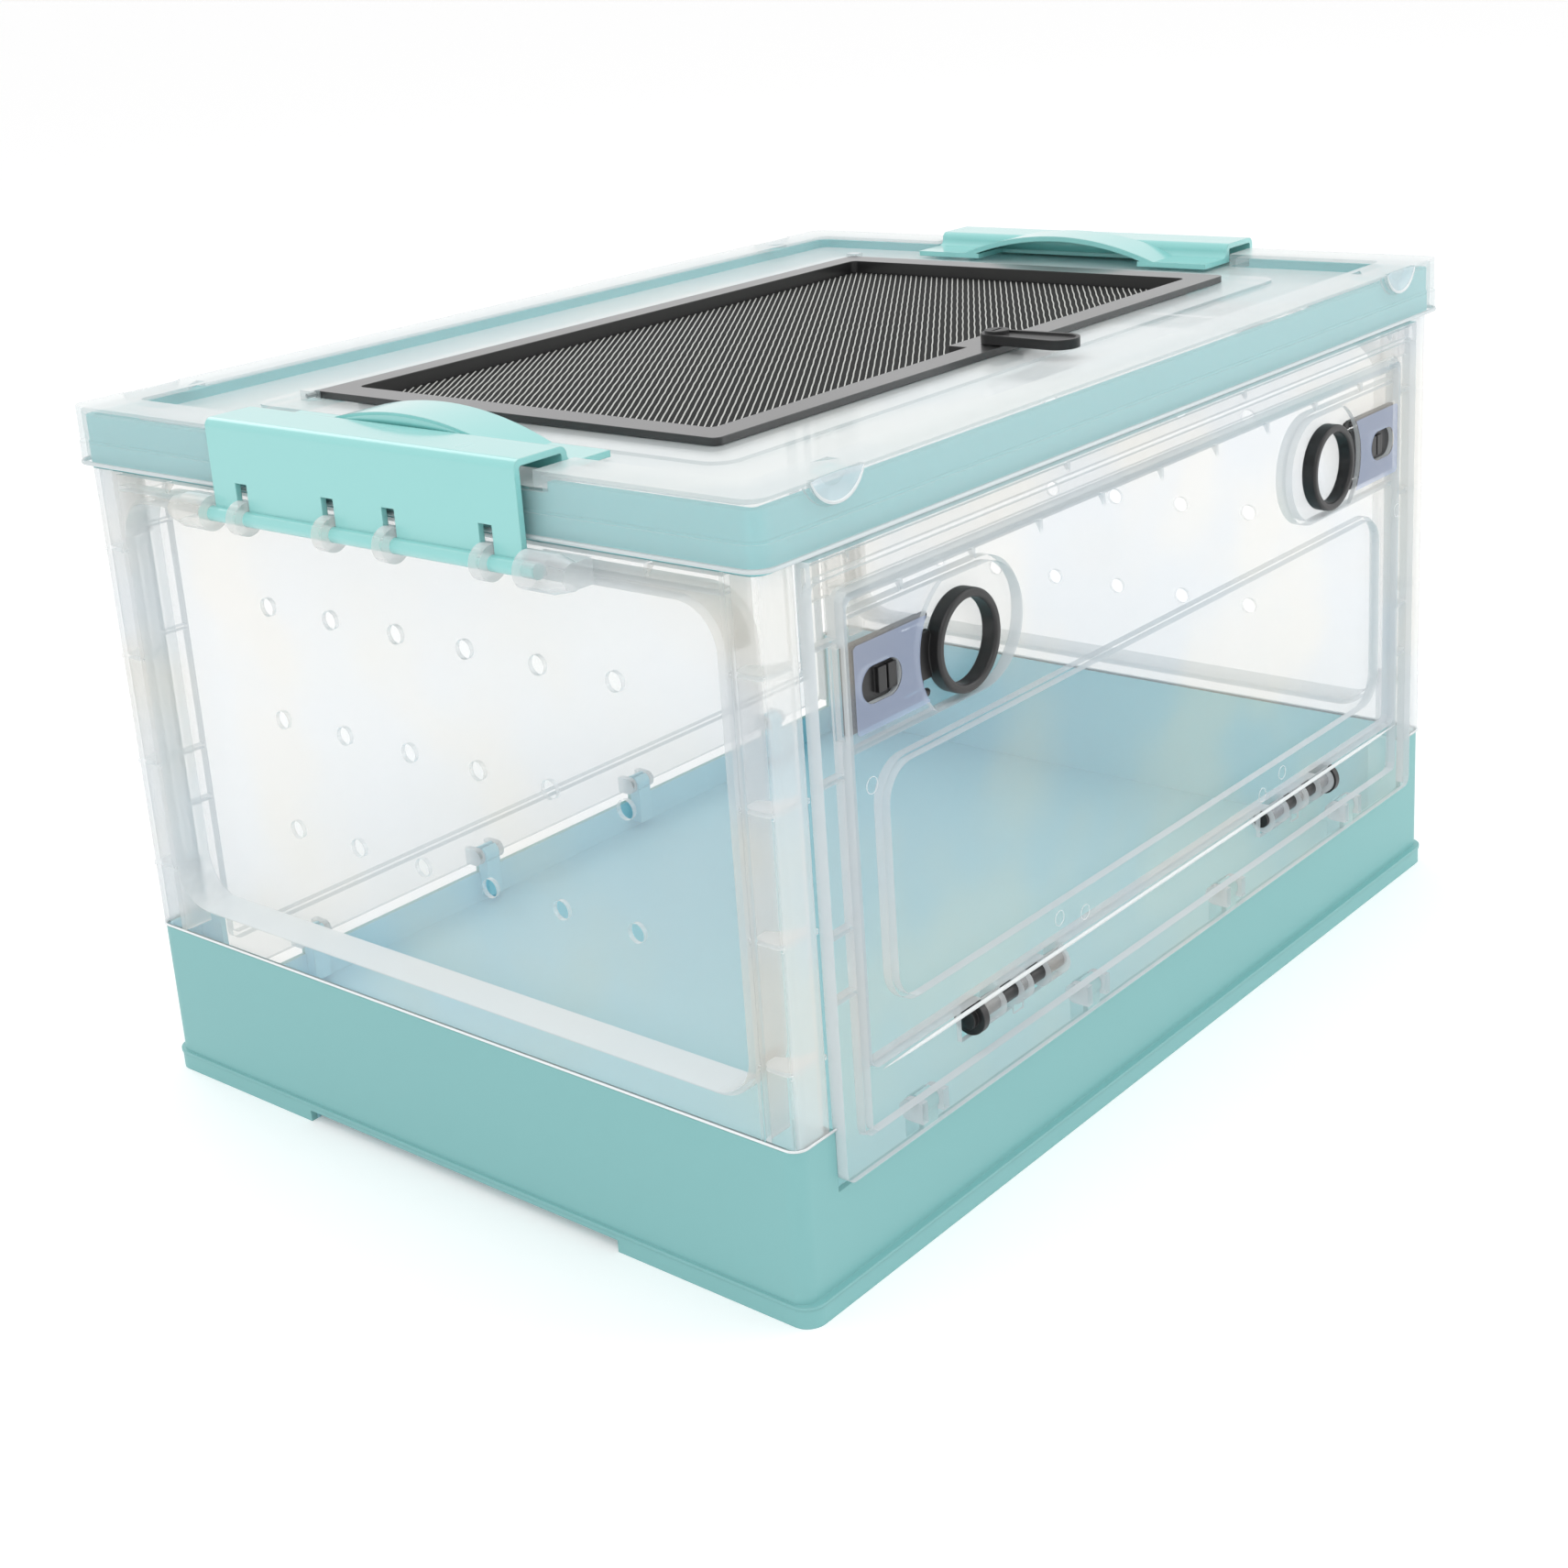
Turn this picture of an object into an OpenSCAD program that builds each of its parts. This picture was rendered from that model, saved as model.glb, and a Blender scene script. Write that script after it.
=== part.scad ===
// Folding clear pet keeper: teal base tray, clear walls, lid with a mesh window,
// a drop-down front door with two sliding ring bolts, and two swing latches.
// Millimetres. +Z up, +X along the long side, the door is on the -Y side.

/* [Base tray] */
// Length over the base tray's walls
base_l = 438; // [410:1:470]
// Width over the base tray's walls
base_w = 323; // [300:1:360]
// Height of the base tray's top edge
base_h = 62; // [56:1:80]
// Wall thickness of the base tray
base_t = 2.4; // [2:0.1:3]
// Outer radius of the vertical corners
corner_r = 6; // [4:0.5:8]
// Height of the foot band round the bottom
foot_h = 8; // [6:0.5:10]
// How far the foot band stands out on the long sides
foot_out = 2.1; // [1:0.1:3]
// Height of the floor's upper face
floor_z = 9; // [7:0.5:14]
// Thickness of the floor
floor_t = 2.4; // [2:0.1:3]
// Width of the lifted edge along each short side
lift_w = 160; // [100:5:200]
// Height of the lifted edge
lift_h = 4.5; // [3:0.5:5.5]
// How far the lifted edge reaches in from the short side
lift_in = 8; // [6:0.5:12]
// Height of the small bead round the top of the foot band
bead_h = 1.2; // [0.8:0.1:2]
// Diameter of a foot pad
pad_d = 12; // [8:1:14]
// Height of a foot pad
pad_h = 3.6; // [2:0.2:4.5]
// Distance of a rubber pad from the end of the base
pad_end = 26; // [18:1:40]

/* [Clear walls] */
// Height of the clear walls above the base tray
wall_rise = 184.5; // [160:1:220]
// Sheet thickness of the clear walls
wall_t = 1.8; // [1.5:0.1:2.4]
// Length of a corner column along the long side
post_l = 19; // [16:1:24]
// Width of a corner column along the short side
post_w = 15.5; // [13:0.5:20]
// How deep the short walls' vented sheet lies behind their edge
side_recess = 14.9; // [10:0.5:17]
// Height of the short walls' plain bottom band
side_band = 13; // [10:1:20]
// Corner radius of the short walls' recess
recess_r = 15; // [10:1:20]
// Thickness of the carrying ledge under the rim
ledge_t = 4.6; // [3:0.2:6]
// Distance of the ledge's top below the walls' top
ledge_drop = 6; // [5:0.5:9]
// Diameter of a vent hole
vent_d = 7; // [5:0.5:9]
// Spacing of the vent holes along the wall
vent_pitch_y = 34.45; // [28:0.5:38]
// Spacing of the vent rows
vent_pitch_z = 43.2; // [30:0.5:46]
// Vent holes in a row
vent_cols = 6; // [4:1:7]
// Rows of vent holes
vent_rows = 3; // [2:1:3]
// Spacing of the shelf ribs inside the corner columns
rib_pitch = 42.5; // [35:0.5:50]

/* [Long walls] */
// How far the long walls' face stands ahead of the columns
panel_proud = 3.5; // [3:0.1:4.5]
// Depth of a long wall from its face to its inner edge
panel_depth = 5.2; // [4.8:0.1:6]
// Running gap beside each folding wall
panel_gap = 0.3; // [0.2:0.05:0.6]
// Width of the wall's side frames
stile_w = 14; // [12:0.5:18]
// How far the front wall hangs below the base tray's top edge
front_hang = 19; // [15:1:22]
// How far the back wall hangs below the base tray's top edge
back_hang = 36; // [30:1:38]
// Height of the front wall's lower flange
flange_h = 12; // [10:1:16]
// Height of the back wall's lower flange
back_flange_h = 18; // [10:1:22]
// Height of the fold axis above the wall's lower edge
fold_up = 5; // [4.5:0.25:7]
// Diameter of a fold pin
fold_pin_d = 4; // [3:0.25:5]
// Width of a fold socket on the base tray
fold_socket_w = 8; // [6:0.5:12]
// Outer diameter of a fold socket
fold_socket_d = 8.4; // [7.6:0.2:10]
// Spacing of the fold sockets
fold_pitch = 100; // [80:5:110]

/* [Door] */
// Gap round the door in its opening
door_gap = 1.5; // [1:0.1:2.5]
// Height of the door's lower edge above the base tray
door_up = 14.5; // [12:0.5:18]
// Distance of the door's top below the walls' top
door_drop = 15.5; // [14:0.5:22]
// Sheet thickness of the door
door_t = 1.8; // [1.5:0.1:2.4]
// Height of the recessed pane in the door
pane_h = 80; // [60:1:86]
// Margin of the pane from the door's lower edge
pane_up = 15.5; // [12:0.5:20]
// Margin of the pane from the door's side edges
pane_in = 16; // [12:0.5:24]
// Corner radius of the pane
pane_r = 12; // [8:1:16]
// Spacing of the small gussets under the door's top lip
gusset_pitch = 38.5; // [30:0.5:46]
// Height of a gusset
gusset_h = 7.5; // [5:0.5:9]
// Thickness of a gusset
gusset_t = 1.5; // [1:0.1:2]
// Distance of the door's hinge axis below the door
hinge_drop = 6.5; // [6.2:0.1:8]
// Diameter of a door hinge pin
hinge_pin_d = 6.5; // [5:0.5:7.5]
// Outer diameter of a hinge knuckle
knuckle_d = 11.5; // [10.5:0.5:12]
// Diameter of a hinge pin's head
pin_head_d = 13; // [12:0.5:14]
// Distance of a hinge's outer end from the middle of the door
hinge_out = 124; // [110:1:140]
// Width of the hinge's outer knuckle
knuckle_a = 11; // [8:0.5:14]
// Width of the hinge's middle knuckle
knuckle_b = 6; // [4:0.5:8]
// Width of the hinge's inner knuckle
knuckle_c = 12; // [8:0.5:14]
// Free length of pin between two knuckles
knuckle_gap = 10.5; // [6:0.5:12]

/* [Ring bolts] */
// Distance of a finger ring from the middle of the door
ring_x = 124.3; // [110:0.5:128]
// Distance of the ring's middle below the door's top
ring_drop = 29.2; // [28:0.1:34]
// Inner diameter of the finger ring
ring_id = 28; // [24:0.5:29]
// Outer diameter of the finger ring
ring_od = 34.2; // [33:0.1:37]
// Depth of the finger ring
ring_depth = 6; // [5:0.2:10]
// Height of the bolt plate
bolt_h = 28; // [22:1:30]
// Thickness of the bolt plate
bolt_t = 2; // [1.6:0.1:2.4]
// Travel of the bolt
bolt_travel = 7.5; // [5:0.5:8]
// Gap on each face of the bolt plate
bolt_gap = 0.25; // [0.15:0.05:0.4]
// How far the recess reaches past the ring's middle
pill_reach = 32.3; // [28:0.1:34]
// Height of the pill shaped recess round the ring
pill_h = 41; // [39:0.5:44]
// Length of the window slot over the bolt's grip
slot_l = 20; // [19:0.5:24]
// Height of the window slot
slot_h = 12; // [10:0.5:14]

/* [Lid] */
// How far the lid overhangs the walls on each side
lid_out = 2.4; // [2:0.1:4]
// How far the lid overhangs the walls front and back
lid_out_y = 3.5; // [3:0.1:5]
// Height of the lid's skirt
skirt_h = 21.4; // [19:0.2:26]
// Wall thickness of the lid
lid_t = 1.8; // [1.5:0.1:2.4]
// Width of the raised rim round the lid
rim_w = 18; // [14:0.5:22]
// Distance of the lid's deck below its rim
deck_drop = 5.4; // [4.6:0.2:7]
// Rise of the deck's middle, on which the window rests
plateau_up = 1.2; // [0.8:0.1:1.6]
// Width of the risen deck outside the window
plateau_out = 16.5; // [10:0.5:20]
// Gap between the walls' top and the skirt's lower edge
skirt_up = 2.1; // [1.5:0.1:3]
// Width of the U shaped thumb notch in the skirt
thumb_w = 27; // [20:1:32]
// Depth of the thumb notch below the rim
thumb_drop = 8.7; // [6:0.2:11]
// Distance of a thumb notch from the middle of the lid
thumb_x = 184; // [170:1:190]

/* [Top frame] */
// Thickness of the frame band under the skirt
band_t = 3; // [2:0.2:4]
// Gap between the skirt and the frame band
band_gap = 1.2; // [0.8:0.1:2]
// How far the frame band looks out below the skirt
band_show = 1.8; // [1:0.1:2]
// Distance of the band's top below the lid's rim
band_drop = 4; // [3:0.2:6]

/* [Latches] */
// Half width of a latch
latch_half = 75.5; // [60:0.5:85]
// Plate thickness of a latch
latch_t = 2.2; // [1.8:0.1:2.8]
// Gap between the lid's skirt and the latch's upright
latch_gap = 3.4; // [2.5:0.1:5]
// How far the latch reaches in over the lid
latch_reach = 41.6; // [30:0.5:46]
// Width of the latch's raised shoulder over the rim
shoulder_w = 22.6; // [20:0.5:28]
// Height of the shoulder above the lid's rim
shoulder_up = 4; // [3.4:0.2:6]
// Gap between the lid's deck and the latch's tongue
tongue_gap = 1.4; // [1:0.1:2]
// Diameter of the latch's rod
rod_d = 5.4; // [4.5:0.1:6.5]
// Distance of the rod's axis below the walls' top
rod_drop = 6; // [5.6:0.2:8]
// Outer diameter of a rod ring on the wall
rod_ring_d = 12; // [10:0.5:12]
// Width of a rod ring
rod_ring_w = 5; // [4:0.5:7]
// Distance of the inner rod rings from the middle
rod_ring_in = 15; // [10:1:25]
// Distance of the outer rod rings from the middle
rod_ring_far = 60; // [45:1:65]
// Width of an end boss
boss_w = 20; // [14:1:24]
// Outer radius of the bends over the rim
bend_r = 3; // [2.6:0.1:4]
// Half width of the raised finger arch
arch_half = 50; // [36:1:60]
// Rise of the finger arch above the tongue
arch_rise = 9.3; // [6:0.5:12]

/* [Mesh window] */
// Length of the window's frame
window_l = 321; // [280:1:330]
// Width of the window's frame
window_w = 197; // [160:1:220]
// Width of the frame's flat border
window_border = 11.5; // [11:0.5:18]
// Thickness of the frame's flange
window_t = 2.6; // [2:0.1:3]
// Depth of the frame's well below the flange
well_d = 5.2; // [4.8:0.2:8]
// Wall thickness of the well
well_t = 1.8; // [1.4:0.1:2.4]
// Room round the well in the lid's opening
well_room = 10; // [6:0.5:14]
// Thickness of the mesh
mesh_t = 0.8; // [0.6:0.1:1.2]
// Gap between the flange and the lid's deck
window_gap = 0.3; // [0.2:0.05:0.5]
// Width of the pad that widens the frame beside the catch
catch_pad_w = 34; // [20:1:50]
// How far the pad reaches in over the mesh
catch_pad_in = 8.4; // [5:0.2:12]
// Diameter of the window's stub pins
stub_d = 1.8; // [1.4:0.1:2]

/* [Window catch] */
// Distance of the catch's axis from the middle of the window
catch_x = 4; // [-60:1:60]
// Length of the catch's handle from its axis
catch_l = 34.5; // [25:0.5:42]
// Diameter of the catch's round head
catch_head_d = 12; // [10:0.5:18]
// Width of the handle
catch_w = 15; // [12:0.5:22]
// Thickness of the handle
catch_t = 3.6; // [3:0.2:6]
// Diameter of the catch's shaft
catch_shaft_d = 3.5; // [3:0.25:4]
// Length of the locking tongue
catch_tongue_l = 13; // [12:0.5:16]

/* [Fits] */
// Radial clearance of a pin in its bore
fit = 0.05; // [0.03:0.01:0.1]

/* [Hidden] */
$fn = 64;

// Overall places
wall_l = base_l - 0.8;
wall_w = base_w + 1;
wall_top = base_h + wall_rise;
face_y = wall_w / 2 + panel_proud;
inner_y = face_y - panel_depth;
panel_x = wall_l / 2 - post_l - panel_gap;
ledge_top = wall_top - ledge_drop;
front_low = base_h - front_hang;
back_low = base_h - back_hang;
fold_y = inner_y - 2.3;
opening_x = panel_x - stile_w;
opening_low = front_low + flange_h;
door_x = opening_x - door_gap;
door_low = base_h + door_up;
door_top = wall_top - door_drop;
opening_top = door_top + 2;
hinge_z = door_low - hinge_drop;
hinge_y = face_y - panel_proud;
door_face = face_y - 0.1;
ring_z = door_top - ring_drop;
pill_z = ring_z + 1.9;
pill_in = ring_x - pill_reach;
bolt_face = door_face - door_t - bolt_gap;
rear_skin = bolt_face - bolt_t - bolt_gap;
pocket_back = rear_skin - 1.6;
bolt_tip = door_x - 0.7;
slot_x = bolt_tip - bolt_travel - 6.8;
lid_l = wall_l + 2 * lid_out;
lid_w = wall_w + 2 * lid_out_y;
skirt_low = wall_top + skirt_up;
rim_top = skirt_low + skirt_h;
deck_top = rim_top - deck_drop;
deck_low = deck_top - lid_t;
latch_zone = latch_half + 2;
band_l = lid_l - 2 * (lid_t + band_gap);
band_w = lid_w - 2 * (lid_t + band_gap);
band_low = skirt_low - band_show;
band_top = rim_top - band_drop;
rod_x = lid_l / 2 + latch_gap + latch_t + 0.4;
rod_z = wall_top - rod_drop;
plate_x = lid_l / 2 + latch_gap;
tongue_low = deck_top + tongue_gap;
shoulder_top = rim_top + shoulder_up;
plateau_top = deck_top + plateau_up;
flange_low = plateau_top + window_gap;
flange_top = flange_low + window_t;
window_pin_z = flange_low + window_t / 2;
window_pin_y = window_w / 2 - window_t / 2;
well_low = flange_low - well_d;
mesh_low = well_low + 1.4;
inner_l = window_l - 2 * window_border;
inner_w = window_w - 2 * window_border;
deck_open_l = inner_l + 2 * well_t + well_room;
deck_open_w = inner_w + 2 * well_t + 1.5 * well_room;
catch_y = -(window_w - window_border) / 2 + 0.3;
teal = [0.56, 0.77, 0.76];
latch_teal = [0.62, 0.87, 0.85];
clear = [0.9, 0.94, 0.96, 0.45];
milky = [0.93, 0.95, 0.96, 0.6];
black = [0.16, 0.16, 0.16];

// Rounded rectangle between two corners
module rounded(x0, x1, y0, y1, r) {
    translate([x0 + r, y0]) square([x1 - x0 - 2 * r, y1 - y0]);
    translate([x0, y0 + r]) square([x1 - x0, y1 - y0 - 2 * r]);
    for (x = [x0 + r, x1 - r], y = [y0 + r, y1 - r]) translate([x, y]) circle(r = r);
}
// Rounded rectangle round the origin
module centred(l, w, r) rounded(-l / 2, l / 2, -w / 2, w / 2, r);
// Plate of an outline in X and Z, from y0 on by t
module facing(y0, t) translate([0, y0 + t, 0]) rotate([90, 0, 0]) linear_extrude(t) children();
// Plate of an outline in Y and Z, from x0 on by t
module sideways(x0, t) translate([x0, 0, 0]) rotate([90, 0, 90]) linear_extrude(t) children();
// Box between two corners
module block(a, b) translate(a) cube(b - a);
// Round bar along X
module bar_x(x0, x1, y, z, d) translate([x0, y, z]) rotate([0, 90, 0]) cylinder(h = x1 - x0, d = d);
// Round bar along Y
module bar_y(x, y0, y1, z, d) translate([x, y1, z]) rotate([90, 0, 0]) cylinder(h = y1 - y0, d = d);
// Closed band: an outline's wall of thickness t and height h
module band(l, w, r, t, h) {
    linear_extrude(h) difference() {
        centred(l, w, r);
        centred(l - 2 * t, w - 2 * t, r - t);
    }
}
module both_ways() {
    children();
    mirror([1, 0, 0]) children();
}

// ---- Base tray ----
module base_walls() {
    band(base_l, base_w, corner_r, base_t, base_h);
    translate([0, 0, floor_z - floor_t])
        linear_extrude(floor_t) centred(base_l - 2, base_w - 2, corner_r - 1);
    band(base_l + 1.2, base_w + 2 * foot_out, corner_r + 1, foot_out + base_t, foot_h);
    translate([0, 0, foot_h - bead_h])
        band(base_l + 2, base_w + 2 * foot_out + 0.8, corner_r + 1.4, base_t, bead_h);
}
module base_ribs() {
    rib_low = 2;
    for (y = [-base_w / 5, base_w / 5])
        block([-base_l / 2 + base_t, y - 1, rib_low], [base_l / 2 - base_t, y + 1, floor_z - 1]);
    for (x = [-3 : 2 : 3])
        block([x * base_l / 8 - 1, -base_w / 2 + base_t, rib_low],
            [x * base_l / 8 + 1, base_w / 2 - base_t, floor_z - 1]);
}
// Corner posts that close the ends of the lowered long walls
module base_posts() {
    post_in = wall_l / 2 - post_l;
    for (sx = [-1, 1], sy = [-1, 1]) scale_flip(sx, sy) {
        block([post_in, base_w / 2 - post_w, floor_z - 1],
            [post_in + base_t, base_w / 2 - 1, base_h]);
    }
}
module scale_flip(sx, sy) mirror([sx < 0 ? 1 : 0, 0, 0]) mirror([0, sy < 0 ? 1 : 0, 0]) children();
// Open snap socket that takes a fold pin; the stem goes down to the tray's wall
module fold_socket(x, z, stem_low) {
    difference() {
        union() {
            bar_x(x - fold_socket_w / 2, x + fold_socket_w / 2, -fold_y, z, fold_socket_d);
            block([x - fold_socket_w / 2, -base_w / 2 + 0.1, stem_low],
                [x + fold_socket_w / 2, -fold_y + fold_socket_d / 2, z - fold_pin_d / 2]);
        }
        bar_x(x - fold_socket_w, x + fold_socket_w, -fold_y, z, fold_pin_d + 2 * fit);
        block([x - fold_socket_w, -fold_y + 0.2, z + 0.6],
            [x + fold_socket_w, -fold_y + fold_pin_d * 0.42, z + fold_socket_d]);
    }
}
module fold_sockets(z, stem_low) {
    for (i = [-1.5 : 1 : 1.5]) fold_socket(i * fold_pitch, z, stem_low);
}
module base_tray() color(teal) {
    post_in = wall_l / 2 - post_l;
    difference() {
        union() {
            base_walls();
            base_ribs();
            base_posts();
        }
        // The long walls are lowered where the folding walls hang over them
        block([-post_in, -base_w / 2 - 1, front_low - 3], [post_in, -base_w / 2 + base_t + 1, base_h + 1]);
        block([-post_in, base_w / 2 - base_t - 1, back_low - 3], [post_in, base_w / 2 + 1, base_h + 1]);
        // Lifted edge under each short side
        for (sx = [-1, 1])
            translate([sx * base_l / 2, 0, lift_h / 2 - 0.5]) cube([2 * lift_in, lift_w, lift_h + 1], center = true);
    }
    fold_sockets(front_low + fold_up, front_low - 14);
    mirror([0, 1, 0]) fold_sockets(back_low + fold_up, back_low - 14);
}
// Round rubber pad pressed up against the underside of the floor
module foot_pad(sx, sy) color(black) {
    x = sx * (base_l / 2 - pad_end);
    y = sy * (base_w / 2 - base_t - foot_out - pad_d / 2 + 2);
    translate([x, y, 0]) {
        cylinder(h = pad_h, d = pad_d);
        cylinder(h = floor_z - floor_t, d = pad_d * 0.55);
    }
}
module foot_pad_front_left() foot_pad(-1, -1);
module foot_pad_front_right() foot_pad(1, -1);
module foot_pad_back_left() foot_pad(-1, 1);
module foot_pad_back_right() foot_pad(1, 1);

// ---- Short walls with their corner columns ----
module column_section() {
    x1 = wall_l / 2;
    y1 = wall_w / 2;
    difference() {
        rounded(x1 - post_l, x1, y1 - post_w, y1, corner_r - 1);
        rounded(x1 - post_l + wall_t, x1 - wall_t, y1 - post_w + wall_t, y1 - wall_t, corner_r - 1 - wall_t);
        // the column is open to the inside of the keeper
        translate([x1 - post_l - 1, y1 - post_w - 1]) square([post_l - side_recess + 1 + wall_t, post_w - 4]);
    }
}
module column_ribs() {
    x1 = wall_l / 2;
    y1 = wall_w / 2;
    for (i = [0 : 3]) translate([0, 0, wall_top - 32 - i * rib_pitch]) linear_extrude(1.6) difference() {
        translate([x1 - post_l + 1, y1 - post_w + 1]) square([post_l - 2, post_w - 2]);
        translate([x1 - post_l, y1 - post_w - 1]) circle(r = 11);
    }
}
module columns() {
    for (s = [0, 1]) mirror([0, s, 0]) {
        translate([0, 0, base_h]) linear_extrude(wall_rise) column_section();
        column_ribs();
    }
}
module side_sheet() {
    x_out = wall_l / 2;
    x_in = x_out - side_recess;
    half = wall_w / 2 - post_w;
    low = base_h + side_band;
    high = ledge_top - ledge_t;
    // Frame round the recess, the recess's wall, then the vented sheet
    sideways(x_out - wall_t, wall_t) difference() {
        rounded(-half - 1, half + 1, base_h, ledge_top - 0.6, 0.5);
        rounded(-half + wall_t, half - wall_t, low, high, recess_r);
    }
    sideways(x_in, side_recess) difference() {
        rounded(-half, half, low - wall_t, high + wall_t, recess_r + wall_t);
        rounded(-half + wall_t, half - wall_t, low, high, recess_r);
    }
    sideways(x_in - wall_t, wall_t) difference() {
        rounded(-half, half, low - wall_t, high + wall_t, recess_r + wall_t);
        for (i = [0 : vent_cols - 1], j = [0 : vent_rows - 1])
            translate([
                (i - (vent_cols - 1) / 2) * vent_pitch_y,
                (low + high) / 2 + (j - (vent_rows - 1) / 2) * vent_pitch_z
            ])
                circle(d = vent_d);
    }
}
module side_top() {
    x_out = wall_l / 2;
    half = wall_w / 2 - post_w;
    wall_x = x_out - 6.6;
    block([wall_x, -half - 1, ledge_top - wall_t], [x_out, half + 1, ledge_top]);
    block([x_out - wall_t, -half - 1, ledge_top - 1], [x_out, half + 1, wall_top]);
    block([wall_x, -half - 1, wall_top - wall_t], [x_out, half + 1, wall_top]);
    for (y = [-half * 0.8, half * 0.8])
        translate([0, y + gusset_t / 2, 0]) rotate([90, 0, 0]) linear_extrude(gusset_t)
            polygon([[x_out - 1, wall_top - 1], [wall_x, wall_top - 1], [x_out - 1, ledge_top - 0.5]]);
}
// Rings and end bosses that carry the latch's rod
module rod_carriers() {
    x_out = wall_l / 2;
    bore = rod_d + 2 * fit;
    boss_in = latch_half + 1.5;
    difference() {
        union() {
            for (y = [-rod_ring_far, -rod_ring_in, rod_ring_in, rod_ring_far]) {
                bar_y(rod_x, y - rod_ring_w / 2, y + rod_ring_w / 2, rod_z, rod_ring_d);
                block([x_out - 1, y - rod_ring_w / 2, rod_z - 3.4], [rod_x, y + rod_ring_w / 2, rod_z + 3.4]);
            }
            for (s = [-1, 1]) {
                y0 = s > 0 ? boss_in : -boss_in - boss_w;
                bar_y(rod_x, s > 0 ? y0 : y0 + 7, s > 0 ? y0 + boss_w - 7 : y0 + boss_w, rod_z, 12.6);
                translate([rod_x, s * (boss_in + boss_w - 7), rod_z]) rotate([s > 0 ? -90 : 90, 0, 0])
                    cylinder(h = 7, d1 = 12.6, d2 = 9);
                block([x_out - 1, y0, rod_z - 4.2], [rod_x, y0 + boss_w, rod_z + 4.2]);
            }
        }
        for (y = [-rod_ring_far, -rod_ring_in, rod_ring_in, rod_ring_far])
            bar_y(rod_x, y - rod_ring_w, y + rod_ring_w, rod_z, bore);
        bar_y(rod_x, -boss_in - 5.6, -boss_in + 1, rod_z, bore);
        bar_y(rod_x, boss_in - 1, boss_in + 5.6, rod_z, bore);
    }
}
module short_panel() {
    columns();
    side_sheet();
    side_top();
    rod_carriers();
}
module right_panel() color(clear) short_panel();
module left_panel() color(clear) mirror([1, 0, 0]) short_panel();

// ---- Long walls, drawn as the front wall ----
module fold_pins(z) {
    for (i = [-1.5 : 1 : 1.5]) {
        x = i * fold_pitch;
        half = fold_socket_w / 2 + 0.3;
        bar_x(x - half - 2, x + half + 2, -fold_y, z, fold_pin_d);
        for (x0 = [x - half - 3, x + half]) {
            bar_x(x0, x0 + 3, -fold_y, z, 7.6);
            block([x0, -face_y + wall_t - 0.2, z - 3.8], [x0 + 3, -fold_y, z + 3.8]);
        }
    }
}
// Three-cornered plate in the angle of an upright face and the flange at its top
module gusset(x, y_face, z_flange, z_foot) sideways(x - gusset_t / 2, gusset_t)
    polygon([
        [y_face + 1, z_flange - 1],
        [-inner_y - 0.6, z_flange - 1],
        [y_face + 1, z_foot]
    ]);
module long_frame(low, open_low, open_top) {
    // Face plate with its opening
    facing(-face_y, wall_t) difference() {
        rounded(-panel_x, panel_x, low, ledge_top, 4);
        rounded(-opening_x, opening_x, open_low, open_top, 3);
    }
    // Outer lip and the lip round the opening
    facing(-face_y, panel_depth) difference() {
        rounded(-panel_x, panel_x, low, ledge_top, 4);
        rounded(-panel_x + wall_t, panel_x - wall_t, low - 5, ledge_top - wall_t, 3);
    }
    facing(-face_y, panel_depth) difference() {
        rounded(-opening_x - wall_t, opening_x + wall_t, open_low - wall_t, open_top + wall_t, 4);
        rounded(-opening_x, opening_x, open_low, open_top, 3);
    }
    // Set-back rail, the face above the ledge and the top flange with its gussets
    block([-panel_x, -inner_y - wall_t, open_top], [panel_x, -inner_y, wall_top]);
    block([-panel_x, -face_y, ledge_top - wall_t], [panel_x, -face_y + wall_t, wall_top]);
    block([-panel_x, -face_y, wall_top - wall_t], [panel_x, -inner_y, wall_top]);
    for (i = [-3 : 2 : 3]) gusset(i * 0.3 * panel_x, -face_y, wall_top, ledge_top);
    // Stile ribs, the top one clear of the bolt's slot
    low_ribs = [for (part = [0.18, 0.32, 0.64]) door_low + part * (door_top - door_low)];
    for (s = [-1, 1], z = concat(low_ribs, [ring_z + bolt_h / 2 + 2.6]))
        block([s > 0 ? opening_x + 1 : -panel_x + 1, -face_y + 1, z],
            [s > 0 ? panel_x - 1 : -opening_x - 1, -inner_y, z + 1.5]);
}
module front_panel() color(clear) {
    sill_y = hinge_y + 0.3;
    span_in = hinge_out - knuckle_a - knuckle_b - knuckle_c - 2 * knuckle_gap;
    knuckle_x = hinge_out - knuckle_a - knuckle_gap;
    difference() {
        union() {
            long_frame(front_low, opening_low, opening_top);
            // Sill behind the door's hinge
            block([-opening_x - 1, -sill_y, opening_low - 1], [opening_x + 1, -inner_y, door_low - 0.5]);
        }
        // Room for the hinges
        both_ways() block([span_in - 2, -face_y - 1, hinge_z - 7.2],
            [hinge_out + 8, -inner_y + 1, door_low + 1]);
        // Keeper slots for the ring bolts
        both_ways() block([opening_x - 1, -bolt_face - bolt_gap, ring_z - bolt_h / 2 - 0.6],
            [opening_x + wall_t + 0.1, -rear_skin, ring_z + bolt_h / 2 + 0.6]);
    }
    fold_pins(front_low + fold_up);
    both_ways() difference() {
        union() {
            bar_x(knuckle_x - knuckle_b, knuckle_x, -hinge_y, hinge_z, knuckle_d);
            block([knuckle_x - knuckle_b, -sill_y - 0.8, hinge_z - 0.8 * knuckle_d],
                [knuckle_x, -inner_y, hinge_z]);
        }
        bar_x(knuckle_x - knuckle_b - 1, knuckle_x + 1, -hinge_y, hinge_z, hinge_pin_d + 2 * fit);
    }
}
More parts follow.
